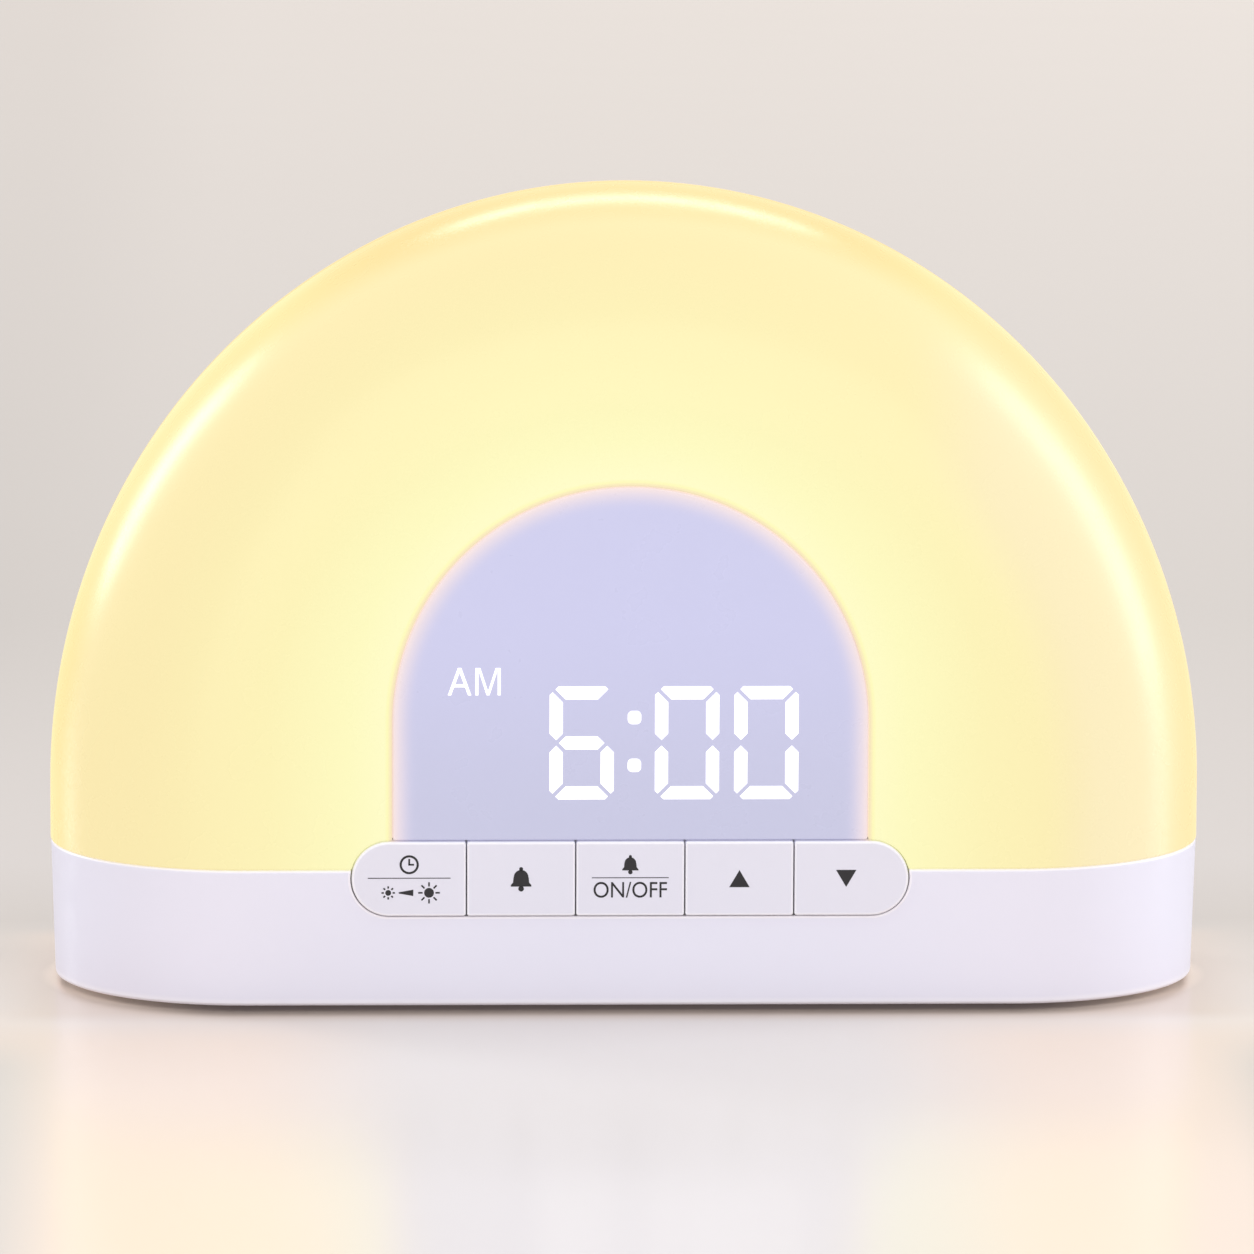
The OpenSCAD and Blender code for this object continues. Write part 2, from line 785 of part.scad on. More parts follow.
module display_board() color(BOARD) {
    difference() {
        upright(display_board_y, display_board_y + board_t)
            arch_outline(box_w - 2 * display_wall - 1, box_h - 2 * display_wall - 1, box_floor + 0.5);
        display_holes() rod_y(small_screw_r + hole_slack, display_board_y - eps,
            display_board_y + board_t + eps);
    }
}

// One light source chip on the front of the display board
module chip_light(x, z) {
    translate([x - chip_led / 2, display_board_y - chip_led_t, z - chip_led / 2])
        cube([chip_led, chip_led_t, chip_led]);
}

module segment_leds() color(GOLD) {
    for (d = DIGITS) for (i = d[1]) let (m = SEGMENT_MIDS[i], t = segment_w / 2)
        chip_light(d[0] + t + m[0] * (digit_w - 2 * t), digit_z + t + m[1] * (digit_h - 2 * t));
    for (s = [-1, 1]) chip_light(colon_x, colon_z + s * colon_spread / 2);
    for (s = [-1, 1]) chip_light(mark_x + s * mark_w / 4, mark_z + mark_h / 2);
}

// Flat chip with rows of legs on two sides, lying on z = 0 with its middle at the origin
module chip(w, d, t, legs) {
    translate([-w / 2, -d / 2, 0.1]) cube([w, d, t - 0.1]);
    for (s = [-1, 1]) for (i = [0 : legs - 1])
        translate([(i - (legs - 1) / 2) * w / legs - 0.15, s * (d / 2 + 0.4) - 0.5, 0])
            cube([0.3, 1, 0.5]);
}

module display_driver() color(DARK) {
    translate([display_plug_x, display_board_y + board_t, display_arch_z + 4])
        pointing_back() chip(12, 7, 1.6, 12);
}

// ---------- light ----------

module reflector() color(INNER) {
    inset = arch_r - reflector_r;
    difference() {
        union() {
            upright(reflector_y, reflector_y + reflector_t) body_outline(inset);
            upright(reflector_y - reflector_rim, reflector_y + eps) difference() {
                body_outline(inset);
                translate([0, -eps]) body_outline(inset + lip_t);
            }
            light_holes() rod_y(small_boss_r, reflector_y + eps, 4);
        }
        block([-arch_r, reflector_y - reflector_rim - eps, seam_z - eps],
            [arch_r, reflector_y, seam_z + shell_boss_h + eps]);
        rear_screw_places() {
            rod_y(boss_r + reflector_gap, reflector_y - reflector_rim - eps, eps);
            block([0, reflector_y - reflector_rim - eps, -rib_t / 2 - reflector_gap],
                [arch_r - rear_screw_rad, eps, rib_t / 2 + reflector_gap]);
        }
        both_sides() for (p = REFLECTOR_SCREWS)
            rod_y(small_screw_r + hole_slack, reflector_y - eps, eps, p[0], p[1]);
        light_holes() rod_y(small_screw_r, reflector_y - eps, 4 - 0.8);
    }
}

// Places something at the light board's screw holes, on both sides of the arch
module light_holes() {
    both_sides() for (a = LIGHT_SCREWS)
        translate([light_mid * cos(a), 0, display_arch_z + light_mid * sin(a)]) children();
}

module light_board() color(WHITE_BOARD) {
    rise = display_arch_z - light_z;
    out = light_in + light_w;
    difference() {
        upright(light_y, reflector_y) difference() {
            arch_outline(2 * out, out + rise, light_z);
            arch_outline(2 * light_in, light_in + rise + eps, light_z - eps);
        }
        light_holes() rod_y(small_screw_r + hole_slack, light_y - eps, reflector_y + eps);
    }
}

module glow_leds() color("ivory") {
    for (a = [0 : light_step : 180]) translate([0, light_y, display_arch_z])
        rotate([0, -a, 0]) translate([light_mid, -led_t / 2, 0])
            cube([led_h, led_t, led_w], center = true);
    for (s = [-1, 1]) for (z = LEG_LIFTS)
        translate([s * light_mid, light_y - led_t / 2, display_arch_z - z])
            cube([led_h, led_t, led_w], center = true);
}

// ---------- keys ----------

module button_frame() color(SHELL) {
    difference() {
        union() {
            block([-frame_w / 2, frame_y, frame_low], [frame_w / 2, frame_y + frame_t, frame_top]);
            for (s = [-1, 1]) rod_y(small_boss_r, frame_y + frame_t - 0.5, button_board_y,
                s * button_post_x, keys_z);
        }
        for (i = KEYS) block(
            [i * key_pitch - stem_w / 2 - fit_gap, frame_y - eps, keys_z - stem_h / 2 - fit_gap],
            [i * key_pitch + stem_w / 2 + fit_gap, frame_y + frame_t + eps,
                keys_z + stem_h / 2 + fit_gap]);
        for (s = [-1, 1]) {
            rod_y(small_screw_r + hole_slack, frame_y - eps, frame_y + frame_t + eps,
                s * frame_screw_x, frame_screw_z);
            rod_y(small_screw_r, button_board_y - 4.5, button_board_y + eps,
                s * button_post_x, keys_z);
        }
    }
}

// One key: its cap, the stem through the frame and the hooks that hold it in
module key(i) {
    x = i * key_pitch;
    low = i == KEYS[0] ? -keys_w : x - key_pitch / 2 + key_gap / 2;
    high = i == KEYS[len(KEYS) - 1] ? keys_w : x + key_pitch / 2 - key_gap / 2;
    upright(key_front, key_back) intersection() {
        keys_outline(0);
        translate([low, 0]) square([high - low, 2 * keys_z]);
    }
    block([x - stem_w / 2, key_back - eps, keys_z - stem_h / 2],
        [x + stem_w / 2, stem_end, keys_z + stem_h / 2]);
    block([x - stem_h / 2, hook_y, keys_z - stem_h / 2 - hook_over],
        [x + stem_h / 2, hook_y + hook_t, keys_z + stem_h / 2 + hook_over]);
}

module time_key() color(SHELL) key(-2);
module alarm_key() color(SHELL) key(-1);
module alarm_switch_key() color(SHELL) key(0);
module up_key() color(SHELL) key(1);
module down_key() color(SHELL) key(2);

// Round plunger of one switch, which moves with its key
module plunger(i) {
    rod_y(plunger_r, stem_end, stem_end + plunger_len, i * key_pitch, keys_z);
}

module time_plunger() color(DARK) plunger(-2);
module alarm_plunger() color(DARK) plunger(-1);
module alarm_switch_plunger() color(DARK) plunger(0);
module up_plunger() color(DARK) plunger(1);
module down_plunger() color(DARK) plunger(2);

module switch_bodies() color(METAL) {
    for (i = KEYS) difference() {
        block([i * key_pitch - switch_w / 2, switch_y, keys_z - switch_w / 2],
            [i * key_pitch + switch_w / 2, switch_y + switch_t, keys_z + switch_w / 2]);
        rod_y(plunger_r + 0.1, switch_y - eps, stem_end + plunger_len + key_travel + 0.3,
            i * key_pitch, keys_z);
    }
}

module button_board() color(BOARD) {
    difference() {
        block([-button_board_w / 2, button_board_y, keys_z - 7.2],
            [button_board_w / 2, button_board_y + board_t, keys_z + 5.2]);
        for (s = [-1, 1]) rod_y(small_screw_r + hole_slack, button_board_y - eps,
            button_board_y + board_t + eps, s * button_post_x, keys_z);
    }
}

// ---------- main board ----------

module main_board() color(BOARD) {
    difference() {
        block([main_x0, main_y0, main_z], [main_x1, main_y1, main_top]);
        main_holes() cylinder(r = small_screw_r + hole_slack, h = main_top - cover_z + 2 * eps);
    }
}

module microcontroller() color(DARK) {
    translate([socket_x - 26, main_y0 + 15.5, main_top]) chip(12, 10, 1.7, 14);
}

module crystal() color(METAL) {
    translate([socket_x - 12, main_y0 + 7.5, main_top]) linear_extrude(height = 3.4) {
        square([6.6, 4.6], center = true);
        for (s = [-1, 1]) translate([s * 3.3, 0]) circle(r = 2.3);
    }
}

module capacitors() color([0.16, 0.17, 0.3]) {
    small_r = 3.15;
    rod_z(4, main_top, main_top + 11, socket_x - 13, main_y1 - 7.5);
    for (x = [socket_x - 14, socket_x - 6])
        rod_z(small_r, main_top, main_top + 7.5, x, main_y1 - 18.5);
}

module voltage_regulator() color(DARK) {
    translate([socket_x + 10, main_y1 - 19.5, main_top]) {
        translate([-3.2, -3, 0]) cube([6.4, 6, 2.3]);
        translate([-2.6, 3, 0]) cube([5.2, 1.2, 1]);
        for (x = [-2.3, 0, 2.3]) translate([x - 0.4, -5.2, 0]) cube([0.8, 2.2, 0.6]);
    }
}

// Plug housing on the main board
module board_plug(x, y, w) {
    translate([x - w / 2, y - plug_d / 2, main_top]) cube([w, plug_d, plug_h]);
}

module board_connectors() color(INNER) {
    board_plug(display_plug_x, display_plug_y, ribbon_w + 3);
    board_plug(button_plug_x, display_plug_y, button_ribbon_w + 3);
    board_plug(light_plug_x, light_plug_y, 6);
    board_plug(speaker_plug_x, speaker_plug_y, 6);
    translate([display_plug_x - ribbon_w / 2 - 1.5, display_board_y + board_t, box_floor + 2])
        cube([ribbon_w + 3, 4.4, 5]);
    translate([button_plug_x - button_ribbon_w / 2 - 1, button_board_y + board_t, keys_z - 6.5])
        cube([button_ribbon_w + 2, 4, 4.4]);
    translate([light_mid - 3, light_y - 4, light_z + 0.2]) cube([6, 4, 4]);
}

module power_socket() color(DARK) {
    difference() {
        block([socket_x - socket_w / 2, socket_face - socket_len, main_top],
            [socket_x + socket_w / 2, socket_face, main_top + socket_h]);
        rod_y(socket_r, socket_face - socket_depth, socket_face + eps, socket_x, socket_z);
    }
}

module socket_pin() color(METAL) {
    rod_y(1.05, socket_face - socket_depth, socket_face - 0.8, socket_x, socket_z);
}

// ---------- speaker ----------

// Places something at the speaker, its axis pointing forwards
module at_speaker() {
    translate([0, speaker_y, speaker_z]) pointing_front() children();
}

module speaker_frame() color(METAL) {
    floor_z = speaker_flange_t + basket_t;
    difference() {
        union() {
            at_speaker() {
                cylinder(r = speaker_flange, h = speaker_flange_t);
                cylinder(r1 = speaker_r + 1, r2 = magnet_r + 1, h = floor_z);
            }
            for (z = [-1, 1]) block(
                [-speaker_boss_x - 2.4, speaker_y - speaker_flange_t,
                    speaker_z + z * speaker_boss_z - 2.4],
                [speaker_boss_x + 2.4, speaker_y, speaker_z + z * speaker_boss_z + 2.4]);
            block([speaker_plug_x - 3, speaker_plug_y - 1, speaker_z - magnet_r - 5.5],
                [speaker_plug_x + 3, speaker_plug_y + 1, speaker_z - magnet_r]);
        }
        at_speaker() {
            translate([0, 0, -eps]) cylinder(r = speaker_r + 0.2, h = eps + cone_seat);
            cylinder(r1 = speaker_r - 0.6, r2 = magnet_r, h = floor_z - 1);
        }
        for (sx = [-1, 1]) for (sz = [-1, 1]) rod_y(small_screw_r + hole_slack,
            speaker_y - speaker_flange_t - eps, speaker_y + eps,
            sx * speaker_boss_x, speaker_z + sz * speaker_boss_z);
    }
}

module speaker_cone() color([0.2, 0.2, 0.22]) {
    cone_r = speaker_r - 2.4;
    cap_r = speaker_r * 0.25;
    depth = 7;
    at_speaker() {
        difference() {
            cylinder(r = speaker_r, h = cone_seat);
            translate([0, 0, -eps]) cylinder(r = cone_r - 0.6, h = cone_seat + 2 * eps);
        }
        difference() {
            cylinder(r1 = cone_r, r2 = cap_r, h = depth);
            translate([0, 0, -0.6]) cylinder(r1 = cone_r, r2 = cap_r, h = depth);
        }
    }
}

module speaker_magnet() color(DARK) {
    at_speaker() translate([0, 0, speaker_flange_t + basket_t]) cylinder(r = magnet_r, h = magnet_t);
}

module speaker_gasket() color(DARK) {
    difference() {
        rod_y(speaker_flange, speaker_y, speaker_y + gasket_t, 0, speaker_z);
        rod_y(speaker_hole, speaker_y - eps, speaker_y + gasket_t + eps, 0, speaker_z);
    }
}

module speaker_grille() color(SHELL) {
    reach = grille_r - 3;
    rows = floor((reach - 2) / grille_pitch);
    difference() {
        union() {
            rod_y(grille_r - fit_gap, grille_y - grille_flange, back_y, 0, speaker_z);
            rod_y(grille_r + 1.5, grille_y - grille_flange, grille_y, 0, speaker_z);
        }
        for (i = [-rows : rows]) let (z = i * grille_pitch, x = sqrt(reach * reach - z * z))
            block([-x, grille_y - grille_flange - eps, speaker_z + z - grille_slot / 2],
                [x, back_y + eps, speaker_z + z + grille_slot / 2]);
    }
}

// ---------- backup cell ----------

module battery_door() color(SHELL) {
    cell_z = foot_h + door_t;
    translate([cell_x, cell_y, 0]) difference() {
        union() {
            rod_z(door_r, foot_h, cell_z);
            rod_z(cup_r, foot_h, cell_z + 2.8);
            for (a = [0, 120, 240]) intersection() {
                rod_z(lug_r, cover_z + 0.1, cover_z + 0.1 + lug_t);
                translate([0, 0, cover_z - 1]) sector(lug_r + 1, a, lug_angle);
            }
        }
        rod_z(cup_r - cup_wall, cell_z, cover_z + 4);
        block([-6, -0.8, foot_h - eps], [6, 0.8, foot_h + 0.6]);
    }
}

module backup_cell() color(METAL) {
    z = foot_h + door_t + 0.2;
    rod_z(cell_r, z, z + cell_t, cell_x, cell_y);
}

module cell_contacts() color(GOLD) {
    top = foot_h + door_t + 0.2 + cell_t;
    translate([cell_x, cell_y, 0]) {
        block([-6, -2, top], [4, 2, top + 0.3]);
        block([-6, -2, top + 0.2], [-5.5, 2, main_z]);
        block([cell_r + 0.05, -2, foot_h + door_t + 3], [cell_r + 0.35, 2, main_z]);
    }
}

// ---------- screws ----------

module cover_screws() color(METAL) {
    for (sx = [-1, 1]) for (sy = [-1, 1])
        translate([sx * cover_boss_x, sy * cover_boss_y, foot_h + screw_head_t + 0.2]) case_screw();
}

module shell_screws() color(METAL) {
    for (s = [-1, 1]) {
        translate([s * dome_boss_x, dome_boss_y, deck_z]) case_screw();
        translate([s * rear_boss_x, rear_boss_y, deck_z]) case_screw();
    }
}

module rear_screws() color(METAL) {
    for (s = [-1, 1]) translate([s * rear_screw_x, rear_head_y, rear_screw_z])
        pointing_front() case_screw();
}

module reflector_screws() color(METAL) {
    both_sides() for (p = REFLECTOR_SCREWS) translate([p[0], reflector_y, p[1]])
        pointing_back() small_screw();
}

module light_screws() color(METAL) {
    light_holes() translate([0, light_y, 0]) pointing_back() small_screw();
}

module board_screws() color(METAL) {
    translate([0, 0, main_top - cover_z + eps]) main_holes() mirror([0, 0, 1]) small_screw();
}

module display_screws() color(METAL) {
    display_holes() translate([0, display_board_y + board_t, 0]) pointing_front() small_screw();
    for (s = [-1, 1]) translate([s * display_leg_x, display_leg_y, deck_z]) small_screw();
}

module frame_screws() color(METAL) {
    for (s = [-1, 1]) {
        translate([s * frame_screw_x, frame_y + frame_t, frame_screw_z])
            pointing_front() small_screw(short_screw_len);
        translate([s * button_post_x, button_board_y + board_t, keys_z])
            pointing_front() small_screw();
    }
}

module speaker_screws() color(METAL) {
    for (sx = [-1, 1]) for (sz = [-1, 1])
        translate([sx * speaker_boss_x, speaker_y - speaker_flange_t,
            speaker_z + sz * speaker_boss_z]) pointing_back() small_screw(short_screw_len);
}

// ---------- leads ----------

module light_leads() color(LEAD_RED) {
    for (s = [-1, 1]) rod_z(lead_r, main_top + plug_h, light_z + 0.2,
        light_plug_x + s * lead_pitch / 2, light_plug_y);
}

module speaker_leads() color(LEAD_RED) {
    for (s = [-1, 1]) rod_z(lead_r, main_top + plug_h, speaker_z - magnet_r - 5.5,
        speaker_plug_x + s * lead_pitch / 2, speaker_plug_y);
}

// Quarter bend of a ribbon, centred on the origin, in its first quadrant
module ribbon_corner() {
    intersection() {
        difference() {
            circle(r = ribbon_bend + ribbon_t / 2);
            circle(r = ribbon_bend - ribbon_t / 2);
        }
        square(2 * ribbon_bend);
    }
}

module display_ribbon() color(WHITE_BOARD) {
    t = ribbon_t / 2;
    y0 = display_plug_y;
    y1 = ribbon_y;
    low = main_top + plug_h;
    high = box_floor + 2;
    translate([display_plug_x - ribbon_w / 2, 0, 0]) rotate([90, 0, 90])
        linear_extrude(height = ribbon_w) {
            translate([y0 - t, low]) square([2 * t, ribbon_rise - ribbon_bend - low]);
            translate([y0 - ribbon_bend, ribbon_rise - ribbon_bend]) ribbon_corner();
            translate([y1 + ribbon_bend, ribbon_rise - t])
                square([y0 - y1 - 2 * ribbon_bend, 2 * t]);
            translate([y1 + ribbon_bend, ribbon_rise + ribbon_bend]) rotate(180) ribbon_corner();
            translate([y1 - t, ribbon_rise + ribbon_bend])
                square([2 * t, high - ribbon_rise - ribbon_bend]);
        }
}

module button_ribbon() color(WHITE_BOARD) {
    t = ribbon_t / 2;
    y0 = display_plug_y;
    y1 = button_board_y + board_t + 4;
    low = main_top + plug_h;
    translate([button_plug_x - button_ribbon_w / 2, 0, 0]) rotate([90, 0, 90])
        linear_extrude(height = button_ribbon_w) {
            translate([y0 - t, low]) square([2 * t, ribbon_rise - ribbon_bend - low]);
            translate([y0 - ribbon_bend, ribbon_rise - ribbon_bend]) ribbon_corner();
            translate([y1, ribbon_rise - t]) square([y0 - y1 - ribbon_bend, 2 * t]);
        }
}

dome_diffuser();
rear_housing();
base_housing();
bottom_cover();
foot_pads();
display_lens();
display_housing();
segment_block();
segment_windows();
display_board();
segment_leds();
display_driver();
reflector();
light_board();
glow_leds();
button_frame();
time_key();
alarm_key();
alarm_switch_key();
up_key();
down_key();
time_plunger();
alarm_plunger();
alarm_switch_plunger();
up_plunger();
down_plunger();
switch_bodies();
button_board();
main_board();
microcontroller();
crystal();
capacitors();
voltage_regulator();
board_connectors();
power_socket();
socket_pin();
speaker_frame();
speaker_cone();
speaker_magnet();
speaker_gasket();
speaker_grille();
battery_door();
backup_cell();
cell_contacts();
cover_screws();
shell_screws();
rear_screws();
reflector_screws();
light_screws();
board_screws();
display_screws();
frame_screws();
speaker_screws();
light_leads();
speaker_leads();
display_ribbon();
button_ribbon();
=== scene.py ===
# %% [markdown]
# # A sunrise alarm clock on a studio floor
#
# The clock is an arch of milky plastic that glows from inside, a display set into it, and an oval base
# with a row of five keys. Its exact parts come packed as a fixed frame, in metres. Here every outer shell
# gets a finer piece with rounded edges, and everything, inside too, gets a procedural finish.

import math

import bmesh
import bpy
from mathutils import Matrix, Vector


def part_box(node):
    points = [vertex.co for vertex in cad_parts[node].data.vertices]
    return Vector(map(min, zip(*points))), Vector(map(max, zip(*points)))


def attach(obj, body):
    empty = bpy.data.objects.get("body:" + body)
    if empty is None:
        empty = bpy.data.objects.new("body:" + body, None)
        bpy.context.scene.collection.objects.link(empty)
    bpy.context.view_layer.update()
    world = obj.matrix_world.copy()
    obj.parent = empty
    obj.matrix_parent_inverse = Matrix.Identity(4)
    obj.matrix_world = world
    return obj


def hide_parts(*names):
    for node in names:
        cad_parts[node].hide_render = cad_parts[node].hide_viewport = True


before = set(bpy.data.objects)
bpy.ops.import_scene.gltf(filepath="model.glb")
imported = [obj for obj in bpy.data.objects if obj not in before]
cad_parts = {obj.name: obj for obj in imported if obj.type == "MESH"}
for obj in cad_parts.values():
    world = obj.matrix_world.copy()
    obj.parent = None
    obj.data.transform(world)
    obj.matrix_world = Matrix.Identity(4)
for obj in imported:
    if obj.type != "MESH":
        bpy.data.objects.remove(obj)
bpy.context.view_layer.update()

# %% [markdown]
# ## The few sizes that several pieces share
#
# Plastic parts are drawn in millimetres and Blender works in metres, so every size is written in
# millimetres and multiplied by MM where it is used. The clock stands on the floor at z = 0 and looks
# towards -y, and its body is the same left and right.

# %% Shared sizes
MM = 0.001
TINY = 1e-6
ARCH_R, CROWN, ARCH_Z = 100.0, 4.3, 35.0
END_R, END_X, END_Y = 33.6, 66.4, 1.6
SEAM_Z, PART_Y = 24.9, 1.6
FACE_Y, BACK_Y = -35.2, 35.2
DISPLAY_HALF, DISPLAY_CENTRE, DISPLAY_FOOT = 40.7, 50.45, 30.05
KEYS_HALF, KEYS_R, KEYS_Z, KEY_PITCH = 47.8, 6.45, 23.35, 18.74
GAP, OPENING_GAP, EDGE = 0.15, 0.2, 0.3
DOME_WALL, REAR_WALL, LENS_T = 2.0, 2.2, 3.0
BOSS_R, BOSS_HOLE, BOSS_H = 3.0, 1.2, 10.0
THROUGH_FACE = (FACE_Y - 2, FACE_Y + 4)


def rounded(metres):
    """Lengths in millimetres, for printing."""
    return tuple(round(v / MM, 2) for v in metres)


print("arch", 2 * ARCH_R, "wide and", ARCH_Z + ARCH_R + CROWN, "high; display", 2 * DISPLAY_HALF, "wide")

# %% [markdown]
# ## Working as by hand
#
# Blender's operators act on whatever is selected. These helpers first clear the selection, then pick
# faces, edges or points by a test on their place. A hand could pick them too, but a test picks the same
# ones each time, even after a size changes.

# %% Select, edit and pick
def only(*pieces):
    """Leaves edit mode and selects just these pieces; the last one is active."""
    if bpy.context.mode != "OBJECT":
        bpy.ops.object.mode_set(mode="OBJECT")
    bpy.ops.object.select_all(action="DESELECT")
    for piece in pieces:
        piece.select_set(True)
    if pieces:
        bpy.context.view_layer.objects.active = pieces[-1]


def edit(piece, everything=False):
    """Opens a piece in edit mode, with nothing or everything selected."""
    only(piece)
    bpy.ops.object.mode_set(mode="EDIT")
    bpy.ops.mesh.select_mode(type="VERT")
    bpy.ops.mesh.select_all(action="SELECT" if everything else "DESELECT")


def pick(piece, kind, test):
    """Selects the verts, edges or faces that pass a test."""
    bpy.ops.mesh.select_mode(type={"verts": "VERT", "edges": "EDGE", "faces": "FACE"}[kind])
    bpy.ops.mesh.select_all(action="DESELECT")
    mesh = bmesh.from_edit_mesh(piece.data)
    for part in [part for part in getattr(mesh, kind) if test(part)]:
        part.select_set(True)
    mesh.select_flush_mode()
    bmesh.update_edit_mesh(piece.data)


def lies_at(edge, axis, level):
    """Whether an edge lies at one level along an axis, in millimetres."""
    return all(abs(v.co[axis] - level * MM) < TINY for v in edge.verts)


def extrude(x, y, z):
    """Draws the selection out by a way in millimetres."""
    bpy.ops.mesh.extrude_region_move(TRANSFORM_OT_translate={"value": (x * MM, y * MM, z * MM)})


def added(name):
    """Names the primitive that was just added, and moves its place into its mesh."""
    bpy.ops.object.transform_apply(location=True, rotation=True, scale=True)
    piece = bpy.context.object
    piece.name = piece.data.name = name
    return piece


# %% [markdown]
# ## Three starting shapes
#
# Moulded details start as a block, a rod or a plate. The block is a cube and the rod a cylinder, added
# at their size. The plate is a circle whose points are moved onto a drawn outline and then extruded:
# that makes any flat shape, even a key's sign.

# %% Block, rod and plate
def block(name, low, high):
    """A box between two corners, in millimetres."""
    low, high = Vector(low) * MM, Vector(high) * MM
    only()
    bpy.ops.mesh.primitive_cube_add(size=1, location=(low + high) / 2, scale=high - low)
    return added(name)


def rod(name, axis, radius, start, end, place, steps=64):
    """A round rod along "y" or "z"; place is its centre in the other two directions."""
    middle, length = (start + end) / 2, end - start
    centre = (place[0], middle, place[1]) if axis == "y" else (place[0], place[1], middle)
    turn = (math.pi / 2, 0, 0) if axis == "y" else (0, 0, 0)
    only()
    bpy.ops.mesh.primitive_cylinder_add(
        vertices=steps, radius=radius * MM, depth=length * MM, location=Vector(centre) * MM, rotation=turn)
    return added(name)


def plate(name, outline, front, back):
    """A flat piece from a front-view outline of (x, z), between two depths."""
    only()
    bpy.ops.mesh.primitive_circle_add(vertices=len(outline), radius=MM, fill_type="NGON")
    piece = added(name)
    for point, (x, z) in zip(piece.data.vertices, outline):
        point.co = Vector((x, front, z)) * MM
    edit(piece, everything=True)
    extrude(0, back - front, 0)
    bpy.ops.mesh.select_all(action="SELECT")
    bpy.ops.mesh.normals_make_consistent(inside=False)
    only(piece)
    return piece


# %% [markdown]
# ## Outlines made of arcs
#
# The display is a half circle on straight sides, and the row of keys is a bar with round ends. Both are
# points along arcs, so close together that no corner shows.

# %% Arc, arch and bar outlines
def arc(x, z, radius, start, end, steps=32):
    """Points on an arc round (x, z), from a start to an end angle in degrees."""
    angles = [math.radians(start + (end - start) * i / steps) for i in range(steps + 1)]
    return [(x + radius * math.cos(a), z + radius * math.sin(a)) for a in angles]


def arch_outline(half, foot):
    return arc(0, DISPLAY_CENTRE, half, 0, 180, 96) + [(-half, foot), (half, foot)]


def bar_outline(half, radius, z):
    x = half - radius
    return arc(x, z, radius, -90, 90) + arc(-x, z, radius, 90, 270)


print("display outline:", len(arch_outline(DISPLAY_HALF, DISPLAY_FOOT)), "points")

# %% [markdown]
# ## Modifiers that are applied at once
#
# A finished piece is plain mesh, so each modifier is applied as soon as it is added. `cut` takes one
# piece away from another, `round_edges` breaks the sharp edges that a mould never leaves, and `smooth`
# shades the curves while weighted normals keep the flat faces flat.

# %% Shape, cut, join, round and smooth
def shape(piece, kind, **settings):
    """Adds a modifier with these settings and applies it."""
    only(piece)
    modifier = piece.modifiers.new(kind.lower(), kind)
    for setting, value in settings.items():
        setattr(modifier, setting, value)
    bpy.ops.object.modifier_apply(modifier=modifier.name)
    return piece


def cut(piece, *tools, operation="DIFFERENCE"):
    """Takes the tools away from the piece, or keeps only what they share."""
    for tool in tools:
        shape(piece, "BOOLEAN", operation=operation, solver="EXACT", object=tool)
        bpy.data.objects.remove(tool)
    return piece


def join(piece, *others):
    """Makes the others part of the piece's mesh."""
    if others:
        only(*others, piece)
        bpy.ops.object.join()
    return piece


def round_edges(piece, width, segments=3, angle=40):
    """Rounds every edge that turns more than an angle."""
    return shape(piece, "BEVEL", width=width * MM, segments=segments, limit_method="ANGLE",
        angle_limit=math.radians(angle), use_clamp_overlap=False)


def smooth(piece, angle=35):
    """Smooth shading on curves, with flat faces kept flat."""
    only(piece)
    bpy.ops.object.shade_smooth_by_angle(angle=math.radians(angle))
    shape(piece, "WEIGHTED_NORMAL", keep_sharp=True, weight=80)
    print(piece.name, len(piece.data.polygons), "faces")
    return piece


# %% [markdown]
# ## The arched body
#
# Front dome and rear shell are two halves of one arch with a large rounding round its rim. A cube with
# bevelled edges would pinch at the rim. Here a quarter of a circle, the rounding's own section, is spun
# half a turn. The arch is then stretched upwards by its crown, its legs are extruded down to the seam,
# and the flat face is filled in.

# %% Spin one half of the arch
ROUND_STEPS, ARCH_STEPS = 24, 120


def arch_half(name, side):
    """The outer surface of half the body: side -1 is the front, +1 the rear."""
    centre = Vector((END_X, side * END_Y, ARCH_Z)) * MM
    only()
    bpy.ops.mesh.primitive_circle_add(vertices=4 * ROUND_STEPS, radius=END_R * MM, location=centre)
    piece = added(name)
    edit(piece)
    pick(piece, "verts", lambda v: v.co.x < centre.x - TINY or side * (v.co.y - centre.y) < -TINY)
    bpy.ops.mesh.delete(type="VERT")
    if side < 0:
        pick(piece, "verts", lambda v: abs(v.co.y - centre.y) < TINY)
        extrude(0, PART_Y + END_Y, 0)
    bpy.ops.mesh.select_all(action="SELECT")
    bpy.ops.mesh.spin(steps=ARCH_STEPS, angle=math.pi, center=(0, 0, ARCH_Z * MM), axis=(0, 1, 0))
    bpy.ops.mesh.select_all(action="SELECT")
    bpy.ops.transform.resize(value=(1, 1, (ARCH_R + CROWN) / ARCH_R), center_override=(0, 0, ARCH_Z * MM))
    pick(piece, "edges", lambda e: lies_at(e, 2, ARCH_Z))
    extrude(0, 0, SEAM_Z - ARCH_Z)
    pick(piece, "edges", lambda e: e.is_boundary and lies_at(e, 1, side * BACK_Y))
    bpy.ops.mesh.edge_face_add()
    bpy.ops.mesh.select_all(action="SELECT")
    bpy.ops.mesh.normals_make_consistent(inside=False)
    only(piece)
    face = max(piece.data.polygons, key=lambda f: f.area)
    if face.normal.y * side < 0:
        piece.data.flip_normals()
    return piece


